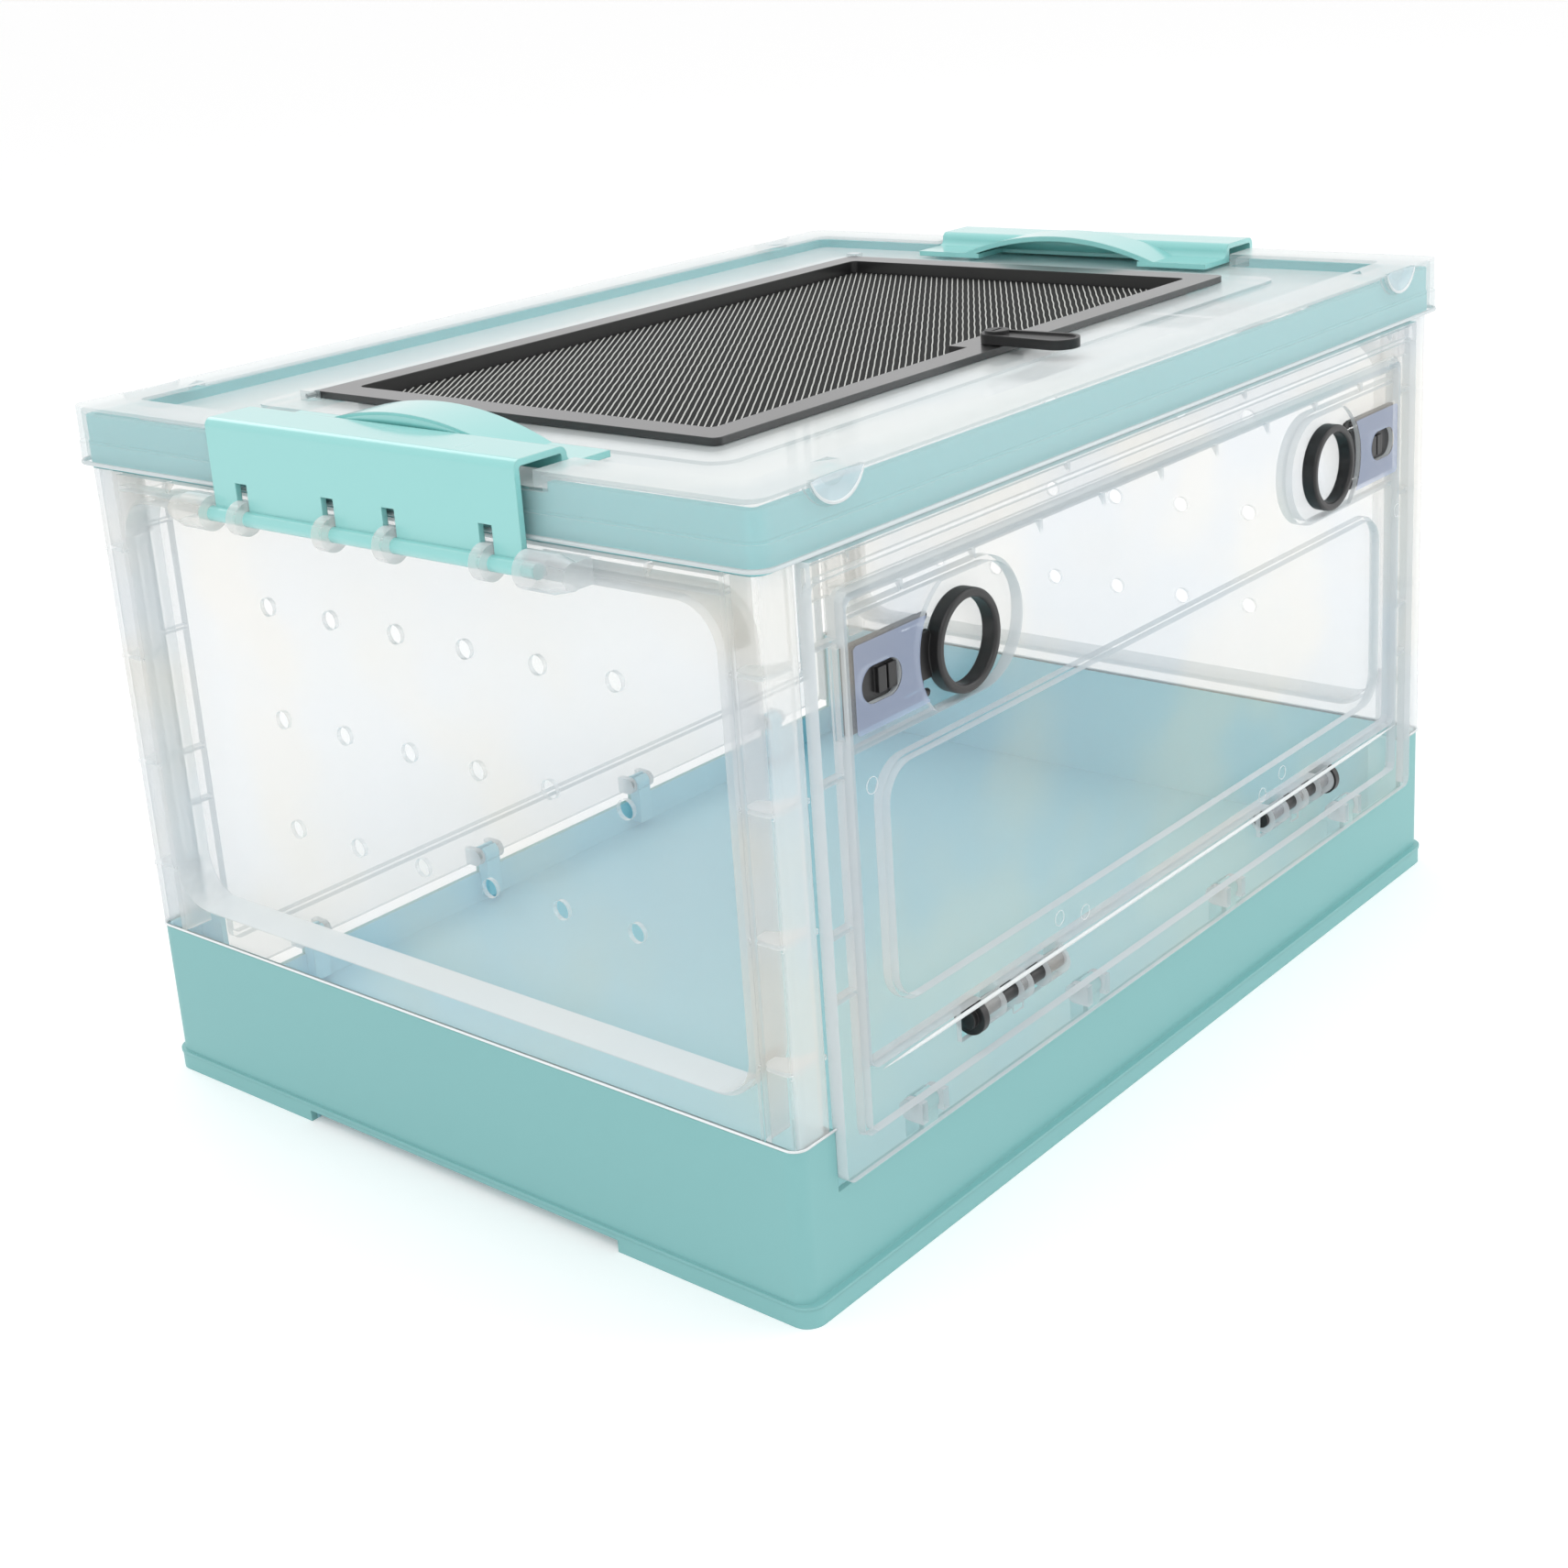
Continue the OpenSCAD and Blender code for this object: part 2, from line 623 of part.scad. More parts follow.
module back_panel() color(clear) mirror([0, 1, 0]) {
    open_low = back_low + back_flange_h;
    long_frame(back_low, open_low, opening_top);
    // Plain recessed sheet
    facing(-inner_y - wall_t, wall_t)
        rounded(-opening_x - 1, opening_x + 1, open_low - 1, opening_top + 1, 3);
    fold_pins(back_low + fold_up);
}

// ---- Door ----
module pill_outline() {
    half = pill_h / 2;
    translate([pill_in + half, pill_z]) circle(r = half);
    translate([pill_in + half, pill_z - half]) square([door_x - pill_in - half, pill_h]);
}
// The recess stays open as far as the ring's run, the rest is covered by the front skin
module pill_mouth() {
    intersection() {
        pill_outline();
        union() {
            translate([pill_in - 1, pill_z - pill_h]) square([ring_x - pill_in + 1, 2 * pill_h]);
            translate([ring_x, ring_z]) circle(r = ring_od / 2 + bolt_travel + 0.5);
        }
    }
}
module stadium(cx, cz, l, h) {
    for (x = [cx - (l - h) / 2, cx + (l - h) / 2]) translate([x, cz]) circle(d = h);
    translate([cx - (l - h) / 2, cz - h / 2]) square([l - h, h]);
}
module pill_wall() {
    difference() {
        union() {
            translate([pill_in + pill_h / 2, pill_z]) circle(r = pill_h / 2 + wall_t);
            translate([pill_in + pill_h / 2, pill_z - pill_h / 2 - wall_t])
                square([door_x - pill_in - pill_h / 2, pill_h + 2 * wall_t]);
        }
        pill_outline();
    }
}
module pane_outline(grow) {
    rounded(-door_x + pane_in - grow, door_x - pane_in + grow, door_low + pane_up - grow,
        door_low + pane_up + pane_h + grow, pane_r + grow);
}
module front_door() color(clear) {
    lip_in = door_face - inner_y;
    relief_x = hinge_out - knuckle_a - knuckle_gap;
    difference() {
        union() {
            // Face sheet with the pane and both ring recesses cut out
            facing(-door_face, door_t) difference() {
                rounded(-door_x, door_x, door_low, door_top, 4);
                pane_outline(0);
                both_ways() pill_mouth();
                both_ways() stadium(slot_x, ring_z, slot_l, slot_h);
            }
            // Lip round the edge
            facing(-door_face, lip_in) difference() {
                rounded(-door_x, door_x, door_low, door_top, 4);
                rounded(-door_x + 1.6, door_x - 1.6, door_low + 1.6, door_top - 1.6, 2.4);
            }
            // Pane and its rim
            facing(-door_face, lip_in) difference() {
                pane_outline(1.6);
                pane_outline(0);
            }
            facing(-inner_y - door_t, door_t) pane_outline(1);
            for (i = [-4 : 4]) gusset(i * gusset_pitch, -door_face, door_top, door_top - gusset_h);
            // Ring recess: wall round it and its back skin
            both_ways() facing(-door_face, door_face - pocket_back) pill_wall();
            both_ways() facing(-rear_skin, rear_skin - pocket_back) union() {
                pill_outline();
                pill_wall();
            }
        }
        // Mouth for the bolt in the door's side edge
        both_ways() block([door_x - 2, -bolt_face - bolt_gap, ring_z - bolt_h / 2 - 0.4],
            [door_x + 1, -rear_skin, ring_z + bolt_h / 2 + 0.4]);
        // Relief for the wall's hinge knuckle
        both_ways() block([relief_x - knuckle_b - 1, -hinge_y - knuckle_d, door_low - 1],
            [relief_x + 1, -inner_y + 1, hinge_z + knuckle_d / 2 + 0.3]);
    }
    both_ways() {
        door_knuckle(hinge_out - knuckle_a, hinge_out);
        door_knuckle(hinge_out - knuckle_a - 2 * knuckle_gap - knuckle_b - knuckle_c,
            hinge_out - knuckle_a - 2 * knuckle_gap - knuckle_b);
    }
}
module door_knuckle(x0, x1) difference() {
    union() {
        bar_x(x0, x1, -hinge_y, hinge_z, knuckle_d);
        block([x0, -door_face + 0.4, hinge_z], [x1, -inner_y, door_low + 1]);
    }
    bar_x(x0 - 1, x1 + 1, -hinge_y, hinge_z, hinge_pin_d + 2 * fit);
}
module door_pin() color(black) {
    inner = hinge_out - knuckle_a - 2 * knuckle_gap - knuckle_b - knuckle_c;
    bar_x(inner - 1.5, hinge_out + 1, -hinge_y, hinge_z, hinge_pin_d);
    bar_x(hinge_out + 0.3, hinge_out + 3.3, -hinge_y, hinge_z, pin_head_d);
    bar_x(hinge_out + 3, hinge_out + 5.5, -hinge_y, hinge_z, 8);
}
module door_pin_right() door_pin();
module door_pin_left() mirror([1, 0, 0]) door_pin();

// ---- Ring bolts ----
module ring_bolt() color(black) {
    plate_in = ring_x + ring_od / 2 + 3.5;
    leg = 2.5;
    grip_l = 9;
    grip_h = 8;
    neck_h = 15.6;
    bar_ring();
    facing(-bolt_face, bolt_t) difference() {
        union() {
            translate([plate_in, ring_z - bolt_h / 2]) square([bolt_tip - plate_in, bolt_h]);
            translate([ring_x + ring_id / 2 + 2, ring_z - neck_h / 2])
                square([plate_in - ring_x - ring_id / 2, neck_h]);
        }
        // Spring legs
        for (s = [-1, 1]) translate([plate_in - 1, ring_z + s * (bolt_h / 2 - leg - 0.8) - 0.8])
            square([11, 1.6]);
    }
    // Grip that shows in the door's window slot
    for (dx = [-grip_l / 2, 0.6])
        block([slot_x - 3.8 + dx, -bolt_face - bolt_gap - door_t + 0.3, ring_z - grip_h / 2],
            [slot_x - 3.8 + dx + grip_l / 2 - 0.6, -bolt_face + 0.5, ring_z + grip_h / 2]);
}
module bar_ring() translate([ring_x, -bolt_face + bolt_t, ring_z]) rotate([90, 0, 0])
    rotate_extrude() {
        w = (ring_od - ring_id) / 2;
        translate([ring_id / 2, 0]) rounded(0, w, 0, ring_depth, 1);
    }
module ring_bolt_right() ring_bolt();
module ring_bolt_left() mirror([1, 0, 0]) ring_bolt();

// ---- Lid ----
module lid_skirt() {
    translate([0, 0, skirt_low]) band(lid_l, lid_w, corner_r + 1, lid_t, skirt_h);
    translate([0, 0, skirt_low]) band(lid_l + 0.8, lid_w + 0.8, corner_r + 1.4, lid_t, 8);
}
module lid_top() {
    inner_rim_l = lid_l - 2 * rim_w;
    inner_rim_w = lid_w - 2 * rim_w;
    translate([0, 0, rim_top - lid_t]) linear_extrude(lid_t) difference() {
        centred(lid_l - 1, lid_w - 1, corner_r + 0.5);
        centred(inner_rim_l, inner_rim_w, 4);
    }
    translate([0, 0, deck_low])
        band(inner_rim_l + 2 * lid_t, inner_rim_w + 2 * lid_t, 4 + lid_t, lid_t, rim_top - deck_low);
    // Deck, and its middle risen under the window
    plateau_l = window_l + 2 * plateau_out;
    plateau_w = window_w + 2 * plateau_out;
    translate([0, 0, deck_low]) linear_extrude(lid_t) difference() {
        centred(inner_rim_l + 1, inner_rim_w + 1, 4.5);
        centred(plateau_l - 2 * lid_t, plateau_w - 2 * lid_t, 8);
    }
    translate([0, 0, deck_low + plateau_up]) linear_extrude(lid_t) difference() {
        centred(plateau_l, plateau_w, 9);
        centred(deck_open_l, deck_open_w, 6);
    }
}
// The rim is lowered where the latches reach over it
module latch_seat() {
    x0 = lid_l / 2 - rim_w;
    block([x0 - 0.5, -latch_zone - lid_t, deck_low], [lid_l / 2 - 1, latch_zone + lid_t, deck_top]);
    for (s = [-1, 1]) {
        y0 = s > 0 ? latch_zone : -latch_zone - lid_t;
        block([x0 - 0.1, y0, deck_low], [lid_l / 2 - 0.2, y0 + lid_t, rim_top]);
    }
}
module thumb_outline(grow) {
    r = thumb_w / 2 + grow;
    translate([0, rim_top - thumb_drop + thumb_w / 2]) circle(r = r);
    translate([-r, rim_top - thumb_drop + thumb_w / 2]) square([2 * r, thumb_w]);
}
module window_ear() {
    x0 = window_l / 2 + 0.4;
    y0 = window_pin_y - 3;
    difference() {
        block([x0, y0, plateau_top - 0.5], [x0 + 4.5, y0 + 6, window_pin_z + 2.2]);
        bar_x(x0 - 1, x0 + 4, window_pin_y, window_pin_z, stub_d + 2 * fit);
    }
}
module lid() color(clear) {
    difference() {
        union() {
            lid_skirt();
            lid_top();
        }
        both_ways() block([lid_l / 2 - rim_w - 0.1, -latch_zone, deck_top],
            [lid_l / 2 + 2, latch_zone, rim_top + 1]);
        // Thumb notches and the small holes beside them, at all four corners
        for (sx = [-1, 1], sy = [-1, 1]) scale_flip(sx, sy) {
            translate([thumb_x, 0, 0]) facing(lid_w / 2 - lid_t - 0.3, lid_t + 2) thumb_outline(0);
            translate([thumb_x - 14, lid_w / 2 - 15, rim_top - lid_t - 1])
                linear_extrude(lid_t + 2) polygon([[0, 0], [8, 0], [0, 5]]);
        }
    }
    both_ways() latch_seat();
    both_ways() window_ear();
    // Curved back of each thumb notch
    for (sx = [-1, 1], sy = [-1, 1]) scale_flip(sx, sy)
        translate([thumb_x, 0, 0]) facing(lid_w / 2 - lid_t - band_gap + 0.1, band_gap + 0.2) intersection() {
            thumb_outline(1.4);
            translate([-thumb_w, skirt_low]) square([2 * thumb_w, skirt_h]);
        }
}
module top_frame() color(teal) {
    difference() {
        union() {
            translate([0, 0, band_low]) band(band_l, band_w, corner_r - 1, band_t, band_top - band_low);
            translate([0, 0, band_low]) band(band_l + 0.8, band_w + 0.8, corner_r - 0.6, band_t, 9.7);
        }
        both_ways() block([band_l / 2 - band_t - 1, -latch_zone - lid_t - 1, deck_low],
            [band_l / 2 + 2, latch_zone + lid_t + 1, band_top + 1]);
    }
}

// ---- Latches ----
module latch_profile() {
    right = plate_x + latch_t;
    drop_x = right - shoulder_w;
    tip = right - latch_reach;
    fold_in = 1;
    // Upright, shoulder over the rim and drop to the deck, bent from one plate
    difference() {
        rounded(drop_x, right, rod_z - bend_r, shoulder_top, bend_r);
        rounded(drop_x + latch_t, right - latch_t, rod_z - 3 * bend_r, shoulder_top - latch_t, fold_in);
        translate([drop_x - 1, rod_z - 2 * bend_r]) square([shoulder_w + 2, 2 * bend_r]);
        translate([drop_x - 1, rod_z - 1]) square([latch_t + 2, tongue_low - rod_z + 1]);
    }
    translate([tip, tongue_low]) square([drop_x - tip + latch_t, latch_t]);
    // Soft bend between the drop and the tongue
    difference() {
        translate([drop_x - bend_r, tongue_low + latch_t - 0.1]) square([bend_r + 0.1, bend_r + 0.1]);
        translate([drop_x - bend_r, tongue_low + latch_t + bend_r]) circle(r = bend_r);
    }
}
// Arched part of the tongue, from its tip back to the drop
module finger_arch() {
    right = plate_x + latch_t;
    top = tongue_low + latch_t;
    r = (arch_half * arch_half + arch_rise * arch_rise) / (2 * arch_rise);
    intersection() {
        sideways(right - latch_reach, latch_reach - shoulder_w + 0.5) difference() {
            translate([0, top + arch_rise - r]) circle(r = r, $fn = 180);
            translate([0, top + arch_rise - r]) circle(r = r - latch_t, $fn = 180);
        }
        block([right - latch_reach, -arch_half, tongue_low],
            [right - shoulder_w + 1, arch_half, top + arch_rise + 1]);
    }
}
module latch() color(latch_teal) {
    difference() {
        union() {
            rotate([90, 0, 0]) translate([0, 0, -latch_half]) linear_extrude(2 * latch_half) latch_profile();
            finger_arch();
        }
        // The tongue is open under the finger arch
        block([plate_x + latch_t - latch_reach - 1, -arch_half + 8, tongue_low - 1],
            [plate_x + latch_t - shoulder_w, arch_half - 8, tongue_low + latch_t]);
        for (y = [-rod_ring_far, -rod_ring_in, rod_ring_in, rod_ring_far])
            block([plate_x - 1, y - rod_ring_w / 2 - 0.5, rod_z - 1],
                [plate_x + latch_t + 1, y + rod_ring_w / 2 + 0.5, rod_z + rod_ring_d]);
    }
    bar_y(rod_x, -latch_half - 6.5, latch_half + 6.5, rod_z, rod_d);
}
module latch_right() latch();
module latch_left() mirror([1, 0, 0]) latch();

// ---- Mesh window ----
module window_frame() color(black) {
    half_l = window_l / 2;
    difference() {
        union() {
            // Flange; its rear edge is a half round about the pin axis
            translate([0, 0, flange_low]) linear_extrude(window_t) difference() {
                rounded(-half_l, half_l, -window_w / 2, window_pin_y, 3);
                centred(inner_l, inner_w, 3);
            }
            bar_x(-half_l, half_l, window_pin_y, window_pin_z, window_t);
            block([-half_l, window_pin_y - 4, flange_low], [half_l, window_pin_y, flange_top]);
            translate([0, 0, well_low])
                band(inner_l + 2 * well_t, inner_w + 2 * well_t, 3 + well_t, well_t, well_d + 1);
            // Ledge under the mesh
            translate([0, 0, well_low]) linear_extrude(1.4) difference() {
                centred(inner_l + 2, inner_w + 2, 4);
                centred(inner_l - 5, inner_w - 5, 3);
            }
            // Pad under the catch
            block([catch_x - catch_pad_w / 3, -inner_w / 2 - 1, flange_low],
                [catch_x + catch_pad_w * 2 / 3, -inner_w / 2 + catch_pad_in, flange_top]);
        }
        translate([catch_x, catch_y, flange_low - 1]) cylinder(h = window_t + 2, d = catch_shaft_d + 2 * fit);
    }
    both_ways() bar_x(half_l - 1, half_l + 4, window_pin_y, window_pin_z, stub_d);
}
module window_mesh() color([0.25, 0.26, 0.26]) {
    translate([0, 0, mesh_low]) linear_extrude(mesh_t) centred(inner_l - 0.1, inner_w - 0.1, 2.9);
}
module window_catch() color(black) {
    low = flange_top + 0.3;
    disc_d = catch_head_d - 3;
    translate([catch_x, catch_y, 0]) {
        translate([0, 0, low]) linear_extrude(catch_t - 0.8) handle_outline(0);
        // Raised rim along the handle
        translate([0, 0, low + catch_t - 1]) linear_extrude(1) difference() {
            handle_outline(0);
            handle_outline(-1.4);
        }
        // Head of the shaft with its screwdriver slot
        difference() {
            translate([0, 0, low]) cylinder(h = catch_t + 1, d = disc_d);
            translate([-disc_d / 3, -0.6, low + catch_t + 0.1]) cube([disc_d * 2 / 3, 1.2, 2]);
        }
        translate([0, 0, well_low - 0.4]) cylinder(h = low - well_low + 1, d = catch_shaft_d);
    }
}
module handle_outline(grow) {
    head_r = catch_head_d / 2 + grow;
    tip_r = catch_w / 2 + grow;
    tip_y = -catch_l + catch_w / 2;
    circle(r = head_r);
    translate([0, tip_y]) circle(r = tip_r);
    polygon([[-head_r, 0], [head_r, 0], [tip_r, tip_y], [-tip_r, tip_y]]);
}
module catch_tongue() color(black) translate([catch_x, catch_y, 0]) {
    tongue_t = 2;
    top = well_low - 0.4 + tongue_t;
    difference() {
        translate([0, 0, top - tongue_t]) linear_extrude(tongue_t) {
            translate([0, -2.6]) square([catch_tongue_l, 5.2]);
            circle(d = catch_shaft_d + 2.4);
        }
        translate([0, 0, top - tongue_t - 1]) cylinder(h = tongue_t + 2, d = catch_shaft_d + 0.02);
    }
}

base_tray();
foot_pad_front_left();
foot_pad_front_right();
foot_pad_back_left();
foot_pad_back_right();
left_panel();
right_panel();
front_panel();
back_panel();
front_door();
door_pin_left();
door_pin_right();
ring_bolt_left();
ring_bolt_right();
top_frame();
lid();
latch_left();
latch_right();
window_frame();
window_mesh();
window_catch();
catch_tongue();
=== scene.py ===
"""Studio scene of a folding clear pet keeper.

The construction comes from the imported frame. This script dresses every part in
its finish, adds the fine pieces that only matter to the eye, and sets a pale
studio with one camera.
"""

import logging
import math
from dataclasses import dataclass
from enum import Enum

import bpy
import numpy as np
from mathutils import Matrix, Vector


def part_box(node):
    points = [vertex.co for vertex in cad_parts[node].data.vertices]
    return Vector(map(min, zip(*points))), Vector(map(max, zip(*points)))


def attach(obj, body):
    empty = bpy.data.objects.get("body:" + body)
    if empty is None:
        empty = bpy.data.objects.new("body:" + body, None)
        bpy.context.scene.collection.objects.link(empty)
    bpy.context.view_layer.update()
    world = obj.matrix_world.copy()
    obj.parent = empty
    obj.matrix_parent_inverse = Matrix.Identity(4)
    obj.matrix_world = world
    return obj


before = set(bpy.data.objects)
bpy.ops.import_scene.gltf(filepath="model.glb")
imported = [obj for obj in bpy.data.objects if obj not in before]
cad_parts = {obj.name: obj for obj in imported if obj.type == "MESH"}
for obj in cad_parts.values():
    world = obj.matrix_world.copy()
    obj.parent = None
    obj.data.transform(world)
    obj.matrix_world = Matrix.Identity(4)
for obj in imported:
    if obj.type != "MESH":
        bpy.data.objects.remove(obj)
LOG = logging.getLogger("pet_keeper")
MM = 0.001
TINY = 1e-6
TUBE_SIDES = 8
UP = np.array([0.0, 0.0, 1.0])
BACK = np.array([0.0, 1.0, 0.0])
CORNER_SIGNS = ((-1, -1), (-1, 1), (1, -1), (1, 1))

# A shape is its points and the corner numbers of its faces
Shape = tuple[np.ndarray, np.ndarray]
Colour = tuple[float, float, float]
Place = tuple[float, float, float]
Numbers = np.ndarray | float
Socket = bpy.types.NodeSocket
Sockets = bpy.types.bpy_prop_collection
Value = Socket | float
Finishes = dict[str, bpy.types.Material]
Pieces = list[bpy.types.Object]


def linear(red: int, green: int, blue: int) -> Colour:
    """Turn a display colour into scene values.

    Args:
        red: Display value from 0 to 255.
        green: Display value from 0 to 255.
        blue: Display value from 0 to 255.

    Returns:
        The three scene-linear values.
    """
    channels = np.array([red, green, blue]) / 255
    low = channels / 12.92
    high = ((channels + 0.055) / 1.055) ** 2.4
    return tuple(float(v) for v in np.where(channels <= 0.04045, low, high))


class Hue(Enum):
    """Colours of the keeper's plastics."""

    TRAY = linear(131, 187, 187)
    # Painted light on the tray's floor and inner faces, lit through the clear walls: near hue, then the
    # darker far hue
    TRAY_LIT_NEAR = linear(182, 234, 236)
    TRAY_LIT_FAR = linear(174, 227, 240)
    BAND = linear(136, 216, 219)
    LATCH = linear(142, 210, 207)
    CLEAR = linear(218, 223, 227)
    DOOR = linear(210, 219, 228)
    CREAM = linear(234, 230, 221)
    CUT = linear(224, 230, 233)
    MILK = linear(243, 247, 248)
    COLUMN = linear(225, 230, 234)
    HAZE = linear(164, 180, 212)
    DISH = linear(214, 229, 236)
    LIP = linear(206, 215, 217)
    FROST = linear(226, 232, 233)
    PEARL = linear(231, 235, 234)
    SKIRT = linear(206, 217, 219)
    BLACK = linear(27, 27, 28)
    MESH = linear(34, 35, 35)
    # Painted highlight: the pale colour of the mesh ribs stands in for their glints
    RIB_GLINT = linear(206, 207, 203)
    RUBBER = linear(30, 30, 31)
    PAPER = linear(250, 250, 250)


class Axis(Enum):
    """The direction that a clear sheet's broad face looks along."""

    X = "X"
    Y = "Y"
    Z = "Z"


# ---- Shader node helpers ----
class Graph:
    """A small helper that places nodes and links in one node tree."""

    def __init__(self, tree: bpy.types.NodeTree) -> None:
        """Keep the tree to work in."""
        self.tree = tree

    def add(self, kind: str, **settings: object) -> bpy.types.Node:
        """Place a node.

        Args:
            kind: Blender's name of the node type.
            settings: Attributes, or inputs whose name starts with "in_" and their index.

        Returns:
            The new node.
        """
        node = self.tree.nodes.new(kind)
        for key, value in settings.items():
            if key.startswith("in_"):
                node.inputs[int(key[3:])].default_value = value
            else:
                setattr(node, key, value)
        return node

    def link(self, source: Socket, target: Socket) -> None:
        """Join an output to an input."""
        self.tree.links.new(source, target)

    def math(
        self, operation: str, first: Value, second: Value | None = None, clamp: bool = False
    ) -> Socket:
        """Place a Math node on sockets or plain numbers.

        Args:
            operation: Blender's name of the operation.
            first: A socket or a number.
            second: A socket, a number or None.
            clamp: Whether the result stays between 0 and 1.

        Returns:
            The node's output.
        """
        node = self.add("ShaderNodeMath", operation=operation, use_clamp=clamp)
        for slot, value in ((0, first), (1, second)):
            if isinstance(value, Socket):
                self.link(value, node.inputs[slot])
            elif value is not None:
                node.inputs[slot].default_value = value
        return node.outputs[0]

    def ramp(self, value: Socket, low: float, high: float) -> Socket:
        """Stretch a value so that low becomes 0 and high becomes 1, with soft ends.

        Args:
            value: The value to stretch.
            low: What becomes 0.
            high: What becomes 1.

        Returns:
            The stretched value.
        """
        node = self.add("ShaderNodeMapRange", interpolation_type="SMOOTHSTEP")
        self.link(value, node.inputs["Value"])
        node.inputs["From Min"].default_value = low
        node.inputs["From Max"].default_value = high
        return node.outputs["Result"]

    def mix(self, factor: Socket, first: Socket | Colour, second: Socket | Colour) -> Socket:
        """Blend two colours.

        Args:
            factor: 0 where the first colour shows and 1 where the second does.
            first: A colour or a socket.
            second: A colour or a socket.

        Returns:
            The blended colour.
        """
        node = self.add("ShaderNodeMix", data_type="RGBA")
        self.link(factor, node.inputs["Factor"])
        for slot, value in (("A", first), ("B", second)):
            if isinstance(value, Socket):
                self.link(value, node.inputs[slot])
            else:
                node.inputs[slot].default_value = (*value, 1.0)
        return node.outputs["Result"]

    def broad_side(self, axis: Axis) -> Socket:
        """Tell how squarely a face looks along an axis of its piece.

        Args:
            axis: The axis.

        Returns:
            A mask that is 1 on faces that look along the axis and 0 on faces beside it.
        """
        place = self.add("ShaderNodeTexCoord")
        split = self.add("ShaderNodeSeparateXYZ")
        self.link(place.outputs["Normal"], split.inputs["Vector"])
        return self.math("ABSOLUTE", split.outputs[axis.value])


def new_group(
    name: str, inputs: dict[str, float], outputs: tuple[str, ...]
) -> tuple[Graph, Sockets, Sockets]:
    """Start a shader node group with named number sockets.

    Args:
        name: The group's name.
        inputs: Input names and their default values.
        outputs: Output names.

    Returns:
        The graph, the input sockets by name and the output sockets by name.
    """
    tree = bpy.data.node_groups.new(name, "ShaderNodeTree")
    for label, value in inputs.items():
        socket = tree.interface.new_socket(label, in_out="INPUT", socket_type="NodeSocketFloat")
        socket.default_value = value
    for label in outputs:
        tree.interface.new_socket(label, in_out="OUTPUT", socket_type="NodeSocketFloat")
    graph = Graph(tree)
    source = graph.add("NodeGroupInput")
    sink = graph.add("NodeGroupOutput")
    return graph, source.outputs, sink.inputs


def grain_group() -> bpy.types.NodeTree:
    """Make a fine moulded grain with slow patches of gloss.

    Returns:
        A group from Size, Roughness and Spread to Height, Roughness and Patch.
    """
    graph, given, result = new_group(
        "moulded_grain",
        {"Size": 900.0, "Roughness": 0.35, "Spread": 0.1},
        ("Height", "Roughness", "Patch"),
    )
    noise_middle = 0.5
    place = graph.add("ShaderNodeTexCoord")
    fine = graph.add("ShaderNodeTexNoise")
    graph.link(place.outputs["Object"], fine.inputs["Vector"])
    graph.link(given["Size"], fine.inputs["Scale"])
    fine.inputs["Detail"].default_value = 3.0
    slow = graph.add("ShaderNodeTexNoise")
    graph.link(place.outputs["Object"], slow.inputs["Vector"])
    slow.inputs["Scale"].default_value = 14.0
    slow.inputs["Detail"].default_value = 2.0
    offset = graph.math("SUBTRACT", slow.outputs["Fac"], noise_middle)
    spread = graph.math("MULTIPLY", offset, given["Spread"])
    rough = graph.math("ADD", spread, given["Roughness"], clamp=True)
    graph.link(fine.outputs["Fac"], result["Height"])
    graph.link(rough, result["Roughness"])
    graph.link(slow.outputs["Fac"], result["Patch"])
    return graph.tree


def start_material(
    name: str, grain: bpy.types.NodeTree, roughness: float, spread: float
) -> tuple[bpy.types.Material, Graph, bpy.types.Node, bpy.types.Node]:
    """Make a material whose gloss comes from the grain group.

    Args:
        name: The material's name.
        grain: The grain group.
        roughness: Mean roughness.
        spread: How far the roughness strays from patch to patch.

    Returns:
        The material, its graph, its shader and its copy of the group.
    """
    material = bpy.data.materials.new(name)
    material.use_nodes = True
    graph = Graph(material.node_tree)
    shader = material.node_tree.nodes["Principled BSDF"]
    effect = graph.add("ShaderNodeGroup", node_tree=grain)
    effect.inputs["Roughness"].default_value = roughness
    effect.inputs["Spread"].default_value = spread
    graph.link(effect.outputs["Roughness"], shader.inputs["Roughness"])
    return material, graph, shader, effect


def edge_mask(graph: Graph, bevel: bpy.types.Node) -> Socket:
    """Tell where the rounded normal leaves the true one.

    Args:
        graph: The material's graph.
        bevel: The Bevel node.

    Returns:
        A mask that is 1 at edges and 0 on flat faces.
    """
    gain = 4.0
    true = graph.add("ShaderNodeNewGeometry")
    dot = graph.add("ShaderNodeVectorMath", operation="DOT_PRODUCT")
    graph.link(bevel.outputs["Normal"], dot.inputs[0])
    graph.link(true.outputs["Normal"], dot.inputs[1])
    bend = graph.math("SUBTRACT", 1.0, dot.outputs["Value"], clamp=True)
    return graph.math("MULTIPLY", bend, gain, clamp=True)


